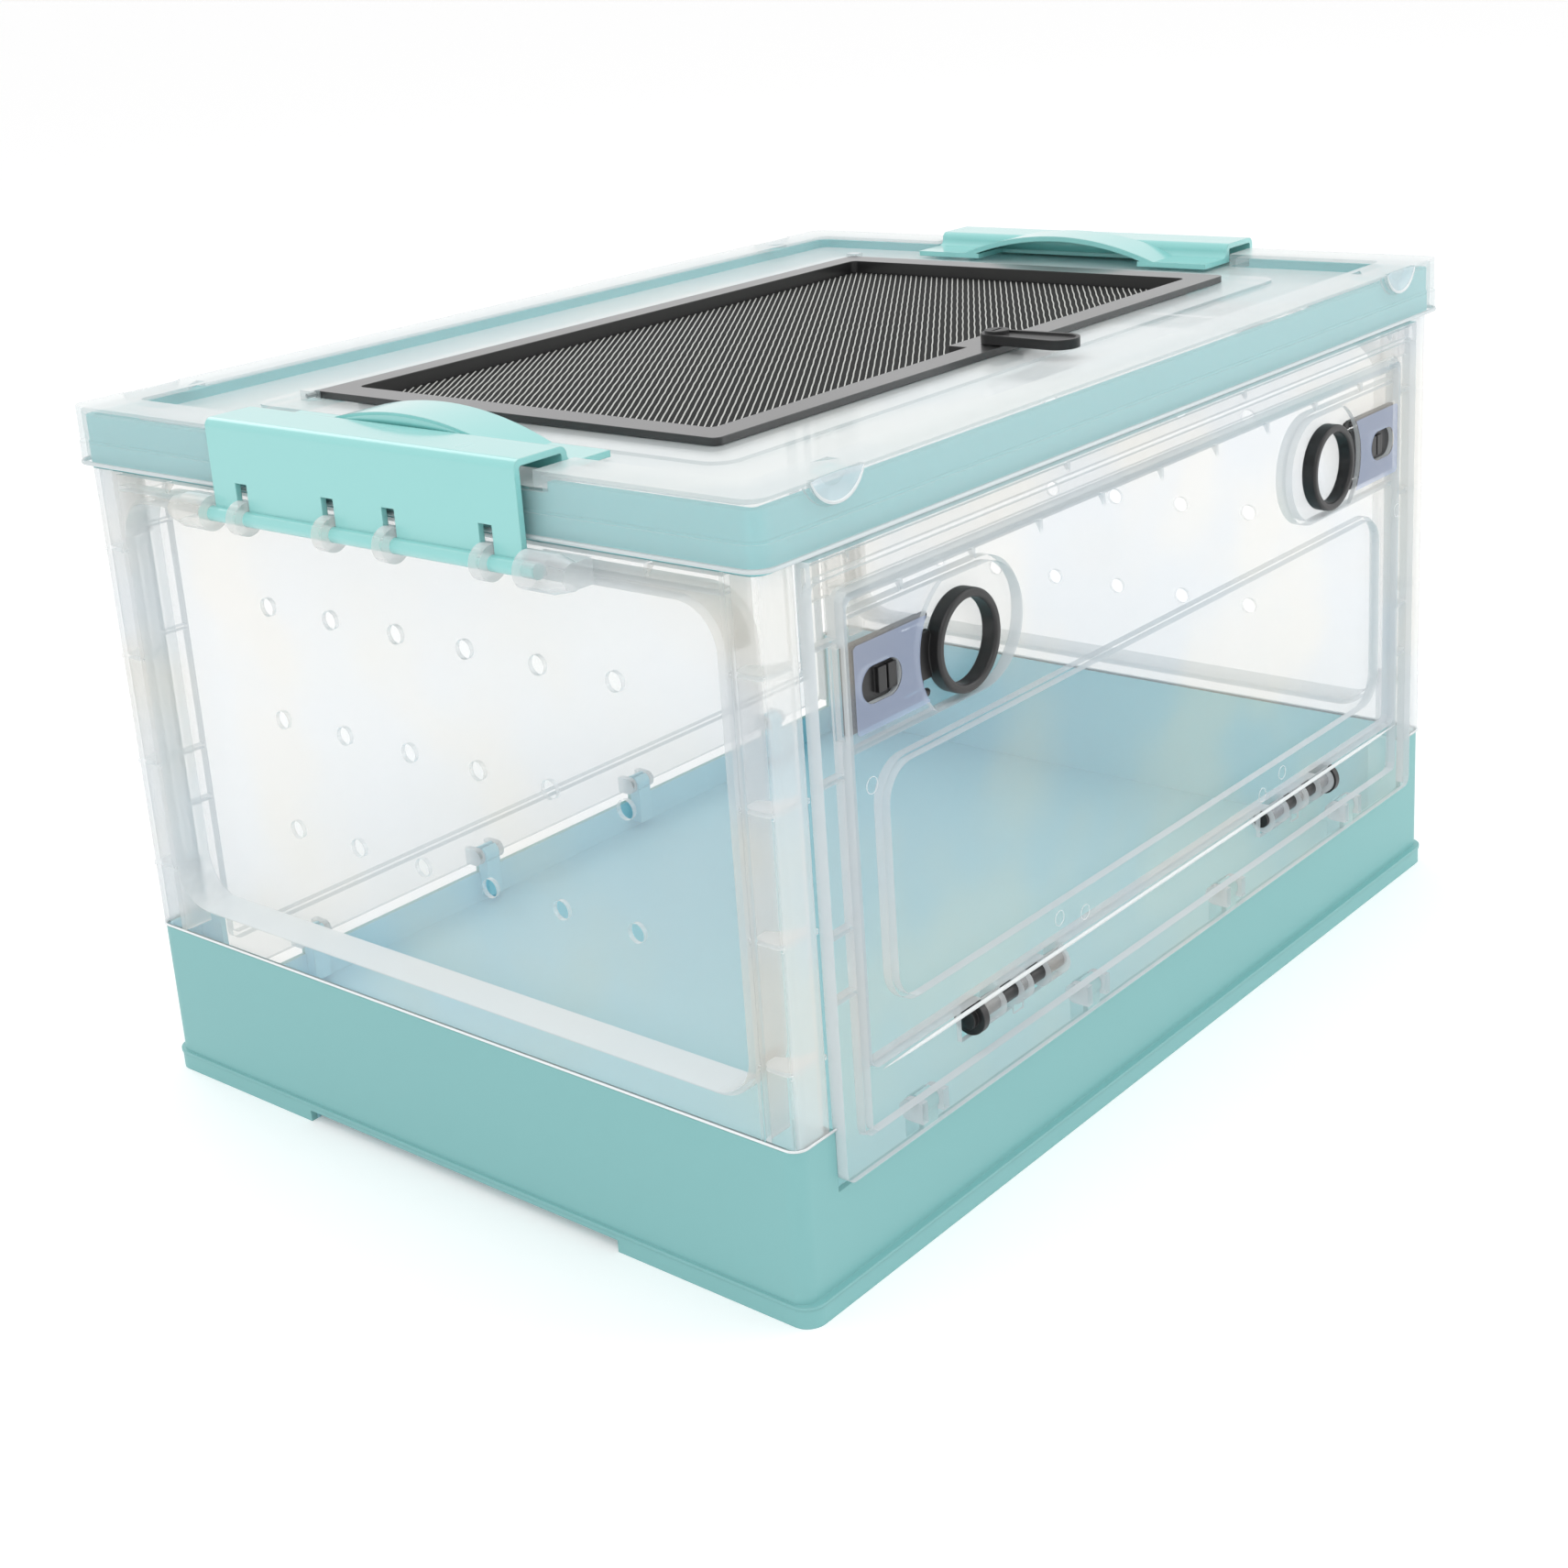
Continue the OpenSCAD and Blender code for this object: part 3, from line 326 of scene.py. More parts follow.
@dataclass(frozen=True)
class Moulding:
    """An opaque moulded plastic.

    The surface has a fine grain, slow patches of gloss and slightly rounded edges that wear a painted
    highlight in a lighter colour.
    Where inside_light_hues are given, the faces within inner_x and inner_y of the middle wear them as
    painted light: the light that falls through the clear walls, brighter at the front and darker and
    bluer at the back.
    """

    name: str
    hue: Hue
    roughness: float = 0.36
    gloss_spread: float = 0.12
    grain_size: float = 1100.0
    grain_depth: float = 0.04
    bump_distance: float = 0.2 * MM
    edge_radius: float = 0.6 * MM
    # Painted highlight along the rounded edges: its strength and its lighter colour
    edge_highlight: float = 0.25
    highlight_gain: float = 1.25
    highlight_add: float = 0.04
    mottle: float = 0.06
    coat: float = 0.0
    coat_roughness: float = 0.12
    gloss: float = 0.5
    # Painted light inside the walls: the near hue and the far hue
    inside_light_hues: tuple[Hue, Hue] | None = None
    inner_x: float = 216.9 * MM
    inner_y: float = 159.4 * MM

    def build(self, grain: bpy.types.NodeTree) -> bpy.types.Material:
        """Make the material.

        Args:
            grain: The grain group.

        Returns:
            The finished material.
        """
        material, graph, shader, effect = start_material(
            self.name, grain, self.roughness, self.gloss_spread
        )
        effect.inputs["Size"].default_value = self.grain_size
        edge_normal = graph.add("ShaderNodeBevel", samples=4, in_0=self.edge_radius)
        bump = graph.add("ShaderNodeBump")
        bump.inputs["Strength"].default_value = self.grain_depth
        bump.inputs["Distance"].default_value = self.bump_distance
        graph.link(effect.outputs["Height"], bump.inputs["Height"])
        graph.link(edge_normal.outputs["Normal"], bump.inputs["Normal"])
        graph.link(bump.outputs["Normal"], shader.inputs["Normal"])
        # Painted highlight: the colour turns lighter where the rounded normal bends away, plus random
        # mottle
        painted_highlight = graph.math("MULTIPLY", edge_mask(graph, edge_normal), self.edge_highlight)
        mottle = graph.math("MULTIPLY", effect.outputs["Patch"], self.mottle)
        highlight_and_mottle = graph.math("ADD", painted_highlight, mottle, clamp=True)
        highlight_hue = tuple(min(1.0, value * self.highlight_gain + self.highlight_add) for value in self.hue.value)
        shader.inputs["Specular IOR Level"].default_value = self.gloss
        shader.inputs["Coat Weight"].default_value = self.coat
        shader.inputs["Coat Roughness"].default_value = self.coat_roughness
        colour = graph.mix(highlight_and_mottle, self.hue.value, highlight_hue)
        if self.inside_light_hues is not None:
            colour = self.paint_inside_light(graph, colour)
        graph.link(colour, shader.inputs["Base Color"])
        return material

    def paint_inside_light(self, graph: Graph, colour: Socket) -> Socket:
        """Paint the light that falls through the clear walls onto the floor and the faces inside them.

        The painted light turns from the near hue to the far one from the front wall to the back wall.

        Args:
            graph: The material's graph.
            colour: The colour of the outer faces.

        Returns:
            The mixed colour.
        """
        place = graph.add("ShaderNodeTexCoord")
        split = graph.add("ShaderNodeSeparateXYZ")
        graph.link(place.outputs["Object"], split.inputs["Vector"])
        within = [
            graph.math("LESS_THAN", graph.math("ABSOLUTE", split.outputs[axis]), limit)
            for axis, limit in (("X", self.inner_x), ("Y", self.inner_y))
        ]
        near, far = self.inside_light_hues
        depth = graph.ramp(split.outputs["Y"], -self.inner_y, self.inner_y)
        # Painted light: the inside is lit through the clear walls and darkens toward the back
        inner = graph.mix(depth, near.value, far.value)
        return graph.mix(graph.math("MULTIPLY", *within), colour, inner)


@dataclass(frozen=True)
class ClearPlastic:
    """A clear, faintly milky plastic.

    The sheet lets light straight through its broad faces and is denser where it is seen at
    a slant. Its ribs, lips and cut edges take the cut hue and the edge density, which is
    below 0 where they are clearer than the faces. A second broad axis counts only for its
    share. Large soft clouds turn the sheet from cool to warm. As milky plastic scatters
    light onward, its shadow is only a share of its density.
    """

    name: str
    broad: tuple[Axis, ...]
    hue: Hue = Hue.CLEAR
    warm: Hue = Hue.CREAM
    cut: Hue = Hue.CUT
    face: float = 0.07
    slant: float = 0.20
    slant_blend: float = 0.35
    edge: float = 0.45
    second: float = 1.0
    shade: float = 0.35
    roughness: float = 0.15
    gloss_spread: float = 0.08
    ripple: float = 0.15
    ripple_distance: float = 0.4 * MM
    cloud_low: float = 0.42
    cloud_high: float = 0.62
    cloud_density: float = 0.04

    def build(self, grain: bpy.types.NodeTree) -> bpy.types.Material:
        """Make the material.

        Args:
            grain: The grain group.

        Returns:
            The finished material.
        """
        material, graph, shader, effect = start_material(
            self.name, grain, self.roughness, self.gloss_spread
        )
        patch = effect.outputs["Patch"]
        ripple = graph.add("ShaderNodeBump")
        ripple.inputs["Strength"].default_value = self.ripple
        ripple.inputs["Distance"].default_value = self.ripple_distance
        graph.link(patch, ripple.inputs["Height"])
        graph.link(ripple.outputs["Normal"], shader.inputs["Normal"])
        warmth = graph.ramp(patch, self.cloud_low, self.cloud_high)
        clouds = graph.mix(warmth, self.hue.value, self.warm.value)
        broadest = graph.broad_side(self.broad[0])
        for axis in self.broad[1:]:
            beside = graph.math("MULTIPLY", graph.broad_side(axis), self.second)
            broadest = graph.math("MAXIMUM", broadest, beside)
        across = graph.math("SUBTRACT", 1.0, broadest, clamp=True)
        graph.link(graph.mix(across, clouds, self.cut.value), shader.inputs["Base Color"])
        facing = graph.add("ShaderNodeLayerWeight")
        facing.inputs["Blend"].default_value = self.slant_blend
        slanted = graph.math("MULTIPLY", facing.outputs["Facing"], self.slant)
        cloud = graph.math("MULTIPLY", patch, self.cloud_density)
        body = graph.math("ADD", graph.math("ADD", slanted, cloud), self.face)
        edges = graph.math("MULTIPLY", across, self.edge)
        density = graph.math("ADD", body, edges, clamp=True)
        path = graph.add("ShaderNodeLightPath")
        passed = graph.math("MULTIPLY", path.outputs["Is Shadow Ray"], 1.0 - self.shade)
        kept = graph.math("SUBTRACT", 1.0, passed)
        graph.link(graph.math("MULTIPLY", density, kept), shader.inputs["Alpha"])
        return material


# ---- Meshes ----
def mesh_piece(
    name: str, points: np.ndarray, faces: np.ndarray, material: bpy.types.Material
) -> bpy.types.Object:
    """Make an object from whole arrays.

    Args:
        name: The piece's name.
        points: Corner positions, one row each, in metres.
        faces: Corner numbers of the four-sided faces, one row each.
        material: The finish.

    Returns:
        The new object at the origin.
    """
    mesh = bpy.data.meshes.new(name)
    mesh.vertices.add(len(points))
    mesh.vertices.foreach_set("co", points.astype(np.float32).ravel())
    mesh.loops.add(faces.size)
    mesh.loops.foreach_set("vertex_index", faces.astype(np.int32).ravel())
    mesh.polygons.add(len(faces))
    mesh.polygons.foreach_set("loop_start", np.arange(0, faces.size, 4, dtype=np.int32))
    mesh.update(calc_edges=True)
    mesh.validate()
    mesh.materials.append(material)
    piece = bpy.data.objects.new(name, mesh)
    bpy.context.scene.collection.objects.link(piece)
    return piece


def spots(x: Numbers, y: Numbers, z: Numbers) -> np.ndarray:
    """Put coordinates together into positions, where a plain number serves them all.

    Args:
        x: Array or number.
        y: Array or number.
        z: Array or number.

    Returns:
        The positions, with x, y and z along the last axis.
    """
    return np.stack(np.broadcast_arrays(x, y, z), -1).astype(float)


def grid_faces(
    rows: int, columns: int, loop_rows: bool = False, loop_columns: bool = True
) -> np.ndarray:
    """Faces of a grid of points, row by row.

    Args:
        rows: Number of rows.
        columns: Points in a row.
        loop_rows: Whether the last row joins the first.
        loop_columns: Whether each row is a closed ring.

    Returns:
        Corner numbers of the four-sided faces.
    """
    row, column = np.meshgrid(
        np.arange(rows if loop_rows else rows - 1),
        np.arange(columns if loop_columns else columns - 1),
        indexing="ij",
    )
    below, beside = (row + 1) % rows, (column + 1) % columns
    turn = ((row, column), (row, beside), (below, beside), (below, column))
    return np.stack([one * columns + other for one, other in turn], -1).reshape(-1, 4)


def bar_faces(rows: int) -> np.ndarray:
    """Faces of a bar whose rings have four points, closed at both ends.

    Args:
        rows: Number of rings.

    Returns:
        Corner numbers of the sides and then of both ends.
    """
    ring = np.arange(4)
    return np.concatenate([grid_faces(rows, 4), [ring[::-1], ring + 4 * (rows - 1)]])


def end_caps(rows: int) -> np.ndarray:
    """Faces that close both ends of a tube whose rings have eight points.

    Args:
        rows: Number of rings.

    Returns:
        Corner numbers of the six faces.
    """
    first = np.array([[3, 2, 1, 0], [7, 4, 3, 0], [7, 6, 5, 4]])
    return np.concatenate([first, first[:, ::-1] + TUBE_SIDES * (rows - 1)])


def turned_outward(points: np.ndarray, faces: np.ndarray) -> np.ndarray:
    """Reverse the faces of a closed piece if they look inward.

    The sum of every face's middle times the cross product of its diagonals is positive
    where the faces look outward.

    Args:
        points: Corner positions.
        faces: Corner numbers.

    Returns:
        The faces, looking outward.
    """
    corner = points[faces]
    across = np.cross(corner[:, 2] - corner[:, 0], corner[:, 3] - corner[:, 1])
    volume = float((corner.mean(1) * across).sum())
    return faces if volume > 0 else faces[:, ::-1]


def joined(parts: list[Shape]) -> Shape:
    """Put several shapes into one.

    Args:
        parts: Points and faces of each shape.

    Returns:
        The points and faces of them all.
    """
    starts = np.cumsum([0] + [len(points) for points, _ in parts[:-1]])
    points = np.concatenate([points for points, _ in parts])
    faces = np.concatenate([faces + start for (_, faces), start in zip(parts, starts)])
    return points, faces


def carried_tube(
    path: np.ndarray, out: np.ndarray, up: np.ndarray, radius: Numbers, loop: bool
) -> Shape:
    """Carry a round section along a path.

    A point is path + radius * (out * cos a + up * sin a), with a once round in eight steps.

    Args:
        path: Middle of each ring.
        out: First direction of the section, for all rings or for each.
        up: Second direction, the same way.
        radius: Radius, the same way.
        loop: Whether the path is closed.

    Returns:
        Points and faces.
    """
    angle = np.linspace(0.0, 2 * np.pi, TUBE_SIDES, endpoint=False)[:, None]
    out, up = (np.broadcast_to(way, path.shape)[:, None, :] for way in (out, up))
    section = out * np.cos(angle) + up * np.sin(angle)
    reach = np.broadcast_to(radius, len(path))[:, None, None]
    points = (path[:, None, :] + section * reach).reshape(-1, 3)
    faces = grid_faces(len(path), TUBE_SIDES, loop_rows=loop)
    if not loop:
        faces = np.concatenate([faces, end_caps(len(path))])
    return points, turned_outward(points, faces)


@dataclass
class MeshWindow:
    """The black window: a ribbed mesh in its frame, whose ribs wear a pale colour that paints their
    glints.
    """

    rib_pitch: float = 2.32 * MM
    rib_width: float = 0.5 * MM
    rib_rise: float = 0.45 * MM
    rib_angle: float = math.radians(35.2)
    rib_steps: int = 40
    sheet_sink: float = 0.25 * MM
    frame_gap: float = 0.2 * MM
    wave_length: float = 17.0 * MM
    wave_height: float = 0.14 * MM
    wave_lag: float = 0.35

    def rib_lines(self, half: np.ndarray, along: np.ndarray, across: np.ndarray) -> np.ndarray:
        """Lay out the ribs' middle lines inside the frame.

        Rib k lies where the distance along the ribs' normal is k times the pitch, and it is
        cut where it meets the frame's inner edge. A sine of the way along it bends it a
        little to each side, and each rib's sine lags behind the one before.

        Args:
            half: Half the opening's width and depth.
            along: Direction of the ribs.
            across: Their normal.

        Returns:
            Flat positions, one row of steps for each rib.
        """
        count = int(float(np.abs(across) @ half) / self.rib_pitch)
        start = np.arange(-count, count + 1)[:, None] * self.rib_pitch * across
        # The line start + way * along stays inside |x| < half x and |y| < half y
        last = ((np.sign(along) * half - start) / along).min(1)
        first = ((-np.sign(along) * half - start) / along).max(1)
        keep = last - first > 2 * self.rib_pitch
        start, first, last = start[keep], first[keep], last[keep]
        share = np.linspace(0.0, 1.0, self.rib_steps)
        way = first[:, None] + (last - first)[:, None] * share
        lag = self.wave_lag * np.arange(len(start))[:, None]
        swing = np.sin(2 * np.pi * way / self.wave_length + lag) * np.sin(np.pi * share)
        return start[:, None] + way[..., None] * along + self.wave_height * swing[..., None] * across

    def ribs(self, name: str, finish: bpy.types.Material, above: bool) -> bpy.types.Object:
        """Make the slanted ribs on one side of the mesh, in a pale colour that paints their glints.

        Each rib is a section of four corners carried along its line.

        Args:
            name: The piece's name.
            finish: The ribs' material.
            above: Whether the ribs lie on the upper side.

        Returns:
            The ribs as one piece.
        """
        low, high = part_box("window_mesh")
        half = np.array([high.x - low.x, high.y - low.y]) / 2 - self.frame_gap
        middle = np.array([high.x + low.x, high.y + low.y]) / 2
        along = np.array([math.cos(self.rib_angle), math.sin(self.rib_angle)])
        across = np.array([-along[1], along[0]])
        side = np.array([-0.5, -0.5, 0.5, 0.5]) * self.rib_width
        rise = np.array([0.0, 1.0, 1.0, 0.0]) * self.rib_rise - self.sheet_sink
        lines = self.rib_lines(half, along, across)
        flat = lines[:, :, None, :] + side[:, None] * across + middle
        points = spots(flat[..., 0], flat[..., 1], high.z + rise if above else low.z - rise)
        firsts = np.arange(len(lines)) * 4 * self.rib_steps
        faces = (bar_faces(self.rib_steps) + firsts[:, None, None]).reshape(-1, 4)
        return mesh_piece(name, points.reshape(-1, 3), faces[:, ::-1] if above else faces, finish)

    def build(self, finishes: Finishes) -> Pieces:
        """Add the ribs and give them to the window.

        Args:
            finishes: The materials by name.

        Returns:
            The new pieces.
        """
        pieces = [
            self.ribs("mesh_ribs", finishes["mesh_rib_glint"], above=True),
            self.ribs("mesh_ribs_under", finishes["mesh_rib_glint"], above=False),
        ]
        for piece in pieces:
            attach(piece, "window")
        return pieces


@dataclass
class DoorTrim:
    """Fine pieces of the door: hazy backings over the bolts, ejector marks and a milky lower bead that
    paints the highlight along its lower edge.
    """

    ring_from_end: float = 59.5 * MM
    mouth_radius: float = 25.1 * MM
    mouth_share: float = 0.8
    slot_from_end: float = 15.0 * MM
    slot_length: float = 20.0 * MM
    slot_height: float = 12.0 * MM
    backing_height: float = 28.6 * MM
    backing_depth: float = 1.92 * MM
    backing_rows: int = 6
    backing_steps: int = 72
    end_margin: float = 1.7 * MM
    mark_places: tuple[tuple[float, float], ...] = ((178.9, 171.6), (79.8, 88.8), (63.7, 84.9))
    mark_radius: float = 2.7 * MM
    mark_line: float = 0.16 * MM
    mark_depth: float = 0.05 * MM
    mark_steps: int = 28
    # The lower bead is a painted highlight along the door's lower edge
    bead_radius: float = 0.75 * MM
    bead_tip: float = 0.1
    bead_inset: float = 3.0 * MM
    bead_depth: float = 0.5 * MM
    bead_up: float = 12.25 * MM
    bead_steps: int = 25

    def backing(self, side: int) -> Shape:
        """Shape the hazy backing over one bolt plate.

        Point (u, t) lies between the slot's outline at angle u and the backing's own outline
        at that angle, at share t of the way. The outline is a rectangle whose inner end
        follows the circle of the ring's mouth.

        Args:
            side: -1 for the left bolt and 1 for the right one.

        Returns:
            Points and faces.
        """
        low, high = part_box("front_door")
        bolt_low, bolt_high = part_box("ring_bolt_right")
        slot_x = high.x - self.slot_from_end
        ring_x = high.x - self.ring_from_end
        angle = np.linspace(0, 2 * np.pi, self.backing_steps, endpoint=False)
        ray = np.stack([np.cos(angle), np.sin(angle)], -1)
        inner = ray * self.slot_height / 2
        inner[:, 0] += np.sign(ray[:, 0]) * (self.slot_length - self.slot_height) / 2
        outward = self.slot_from_end - self.end_margin
        inward = slot_x - ring_x - self.mouth_radius * self.mouth_share
        reach = np.where(ray[:, 0] > 0, outward, inward)
        level, steep = np.maximum(np.abs(ray), TINY).T
        outer = ray * np.minimum(reach / level, self.backing_height / 2 / steep)[:, None]
        arc = ring_x + np.sqrt(self.mouth_radius**2 - outer[:, 1] ** 2) - slot_x
        outer[:, 0] = np.maximum(outer[:, 0], arc)
        share = np.linspace(0.0, 1.0, self.backing_rows)[:, None, None]
        flat = inner + (outer - inner) * share
        z = flat[..., 1] + (bolt_low.z + bolt_high.z) / 2
        points = spots(side * (flat[..., 0] + slot_x), low.y + self.backing_depth, z)
        faces = grid_faces(self.backing_rows, self.backing_steps)
        return points.reshape(-1, 3), faces if side > 0 else faces[:, ::-1]

    def marks(self) -> Shape:
        """Shape the round marks of the ejector pins on the door's face.

        Each is a ring: a small round section carried round a circle on the face.

        Returns:
            Points and faces.
        """
        low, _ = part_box("front_door")
        angle = np.linspace(0, 2 * np.pi, self.mark_steps, endpoint=False)
        out = spots(np.cos(angle), 0.0, np.sin(angle))
        rings = []
        for side in (-1, 1):
            for x, z in self.mark_places:
                middle = np.array([side * x * MM, low.y + self.mark_depth, z * MM])
                path = middle + out * self.mark_radius
                rings.append(carried_tube(path, out, BACK, self.mark_line, loop=True))
        return joined(rings)

    def lower_highlight_bead(self) -> Shape:
        """Shape the milky bead that paints the highlight along the door's lower edge.

        It is a straight round bar whose radius falls to a tenth at its ends as a cosine.

        Returns:
            Points and faces.
        """
        low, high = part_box("front_door")
        share = np.linspace(-1.0, 1.0, self.bead_steps)
        path = spots(share * (high.x - self.bead_inset), low.y + self.bead_depth, low.z + self.bead_up)
        swell = self.bead_tip + (1 - self.bead_tip) * np.cos(share**8 * np.pi / 2)
        return carried_tube(path, BACK, UP, self.bead_radius * swell, loop=False)

    def build(self, finishes: Finishes) -> Pieces:
        """Add the door's fine pieces.

        Args:
            finishes: The materials by name.

        Returns:
            The new pieces.
        """
        backings = joined([self.backing(-1), self.backing(1)])
        pieces = [
            mesh_piece("bolt_backings", *backings, finishes["hazy_clear"]),
            mesh_piece("door_marks", *self.marks(), finishes["faint_line"]),
            mesh_piece("door_lower_highlight", *self.lower_highlight_bead(), finishes["milky_and_highlight_line"]),
        ]
        for piece in pieces:
            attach(piece, "door")
        return pieces


@dataclass
class BoltLegs:
    """The two short legs at the inner end of each ring bolt."""

    ring_from_end: float = 58.8 * MM
    start_from_ring: float = 20.4 * MM
    reach: float = 4.2 * MM
    leg_height: float = 12.6 * MM
    depth: float = 5.0 * MM
    radius: float = 1.7 * MM
    flatness: float = 0.55
    tip_share: float = 0.97
    steps: int = 9

    def legs(self, side: int) -> Shape:
        """Shape both legs of one bolt.

        A leg is a flattened round bar that narrows toward its tip as the root of 1 - s^4,
        where s is the share of the way to the tip.

        Args:
            side: -1 for the left bolt and 1 for the right one.

        Returns:
            Points and faces.
        """
        low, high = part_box("ring_bolt_right" if side > 0 else "ring_bolt_left")
        middle_z = (low.z + high.z) / 2
        ring_x = (high.x if side > 0 else -low.x) - self.ring_from_end
        share = np.linspace(0.0, self.tip_share, self.steps)
        x = side * (ring_x + self.start_from_ring - share * self.reach)
        parts = []
        for sign in (-1, 1):
            path = spots(x, low.y + self.depth, middle_z + sign * self.leg_height)
            radius = self.radius * np.sqrt(1 - share**4)
            parts.append(carried_tube(path, BACK * self.flatness, UP, radius, loop=False))
        return joined(parts)

    def build(self, finishes: Finishes) -> Pieces:
        """Add the legs to both bolts.

        Args:
            finishes: The materials by name.

        Returns:
            The new pieces.
        """
        pieces = []
        for side, word in ((-1, "left"), (1, "right")):
            piece = mesh_piece(f"bolt_legs_{word}", *self.legs(side), finishes["black_plastic"])
            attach(piece, f"bolt_{word}")
            pieces.append(piece)
        return pieces


@dataclass
class LidTrim:
    """Fine pieces of the lid: its skirt's bead, the milky thumb scoops and the corner webs."""

    skirt_in: float = 0.35 * MM
    bead_radius: float = 0.85 * MM
    bead_up: float = 0.2 * MM
    corner_radius: float = 7.0 * MM
    corner_steps: int = 9
    scoop_x: float = 184.0 * MM
    scoop_radius: float = 13.5 * MM
    scoop_drop: float = 8.7 * MM
    scoop_depth: float = 2.0 * MM
    scoop_top: float = 0.4 * MM
    scoop_columns: int = 19
    scoop_rows: int = 13
    rim_radius: float = 0.6 * MM
    rim_tip: float = 0.25
    rim_in: float = 0.3 * MM
    rim_top: float = 0.5 * MM
    rim_steps: int = 33
    web_corners: tuple[tuple[float, float], ...] = (
        (168.6, 150.0), (168.6, 159.2), (183.0, 159.2), (179.0, 150.0),
    )
    web_shares: tuple[float, ...] = (1.0, 0.97, 0.6, 0.02)
    web_side_steps: int = 5
    web_height: float = 0.12 * MM
    web_drop: float = 2.4 * MM

    def corner_webs(self) -> Shape:
        """Shape the frame's corner webs that show through the lid's three-cornered holes.

        Point (s, t) lies at share t from the middle to point s of the web's outline, and the
        web thins to nothing at its rim.

        Returns:
            Points and faces.
        """
        _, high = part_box("lid")
        corner = np.array(self.web_corners) * MM
        way = np.linspace(0, 1, self.web_side_steps, endpoint=False)[:, None]
        rim = (corner[:, None] + (np.roll(corner, -1, axis=0) - corner)[:, None] * way).reshape(-1, 2)
        middle = corner.mean(0)
        share = np.array(self.web_shares)[:, None, None]
        flat = middle + (rim - middle) * share
        height = high.z - self.web_drop + np.where(share[..., 0] < 1, self.web_height, 0.0)
        grid = grid_faces(len(share), len(rim))
        parts = []
        for side_x, side_y in CORNER_SIGNS:
            points = spots(side_x * flat[..., 0], side_y * flat[..., 1], height).reshape(-1, 3)
            parts.append((points, grid[:, ::-1] if side_x * side_y > 0 else grid))
        return joined(parts)

    def bead(self) -> Shape:
        """Shape the bead round the skirt's lower edge.

        The path is a rectangle with round corners: four quarter circles joined by straight
        lines, and the section stands out along each corner's angle.

        Returns:
            Points and faces.
        """
        low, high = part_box("lid")
        quarter = np.linspace(0.0, np.pi / 2, self.corner_steps)
        angle = (quarter + np.arange(4)[:, None] * np.pi / 2).ravel()
        sign_x = np.repeat([1.0, -1.0, -1.0, 1.0], self.corner_steps)
        sign_y = np.repeat([1.0, 1.0, -1.0, -1.0], self.corner_steps)
        out = spots(np.cos(angle), np.sin(angle), 0.0)
        inset = self.corner_radius + self.skirt_in
        centre = spots(sign_x * (high.x - inset), sign_y * (high.y - inset), low.z + self.bead_up)
        return carried_tube(centre + out * self.corner_radius, out, UP, self.bead_radius, loop=True)

    def scoops(self) -> Shape:
        """Shape the four shallow scoops in the skirt.

        At height z the scoop is as wide as its circle there. Point (s, t) is set back from
        the skirt's face by depth * (1 - s^2) * sin(t * pi / 2), s across and t upward.

        Returns:
            Points and faces.
        """
        _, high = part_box("lid")
        bottom = high.z - self.scoop_drop
        s, t = np.meshgrid(np.linspace(-1, 1, self.scoop_columns), np.linspace(0, 1, self.scoop_rows))
        z = bottom + t * (self.scoop_drop - self.scoop_top)
        width = np.sqrt(np.maximum(self.scoop_radius**2 - (z - bottom - self.scoop_radius) ** 2, 0.0))
        back = self.scoop_depth * (1 - s**2) * np.sin(t * np.pi / 2)
        grid = grid_faces(self.scoop_rows, self.scoop_columns, loop_columns=False)
        parts = []
        for side_x, side_y in CORNER_SIGNS:
            y = side_y * (high.y - self.skirt_in - back)
            points = spots(side_x * self.scoop_x + s * width, y, z).reshape(-1, 3)
            parts.append((points, grid if side_y < 0 else grid[:, ::-1]))
        return joined(parts)

    def scoop_rims(self) -> Shape:
        """Shape the raised rim round each scoop.

        It is a round section carried along the part of the scoop's circle below the lid's
        rim, thinner at both ends.

        Returns:
            Points and faces.
        """
        _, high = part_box("lid")
        middle_z = high.z - self.scoop_drop + self.scoop_radius
        steep = math.asin((middle_z - high.z + self.rim_top) / self.scoop_radius)
        angle = np.linspace(-math.pi + steep, -steep, self.rim_steps)
        thin = self.rim_tip + (1 - self.rim_tip) * np.sin(np.linspace(0, np.pi, self.rim_steps)) ** 0.5
        out = spots(np.cos(angle), 0.0, np.sin(angle))
        parts = []
        for side_x, side_y in CORNER_SIGNS:
            middle = np.array([side_x * self.scoop_x, side_y * (high.y - self.rim_in), middle_z])
            path = middle + out * self.scoop_radius
            parts.append(carried_tube(path, out, BACK * side_y, thin * self.rim_radius, loop=False))
        return joined(parts)

    def build(self, finishes: Finishes) -> Pieces:
        """Add the lid's fine pieces.

        Args:
            finishes: The materials by name.

        Returns:
            The new pieces.
        """
        pieces = [
            mesh_piece("skirt_bead", *self.bead(), finishes["lip_clear"]),
            mesh_piece("thumb_scoops", *self.scoops(), finishes["scoop_clear"]),
            mesh_piece("thumb_rims", *self.scoop_rims(), finishes["milky_and_highlight_line"]),
        ]
        for piece in pieces:
            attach(piece, "lid")
        webs = mesh_piece("corner_webs", *self.corner_webs(), finishes["band_teal"])
        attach(webs, "lid")
        return [*pieces, webs]


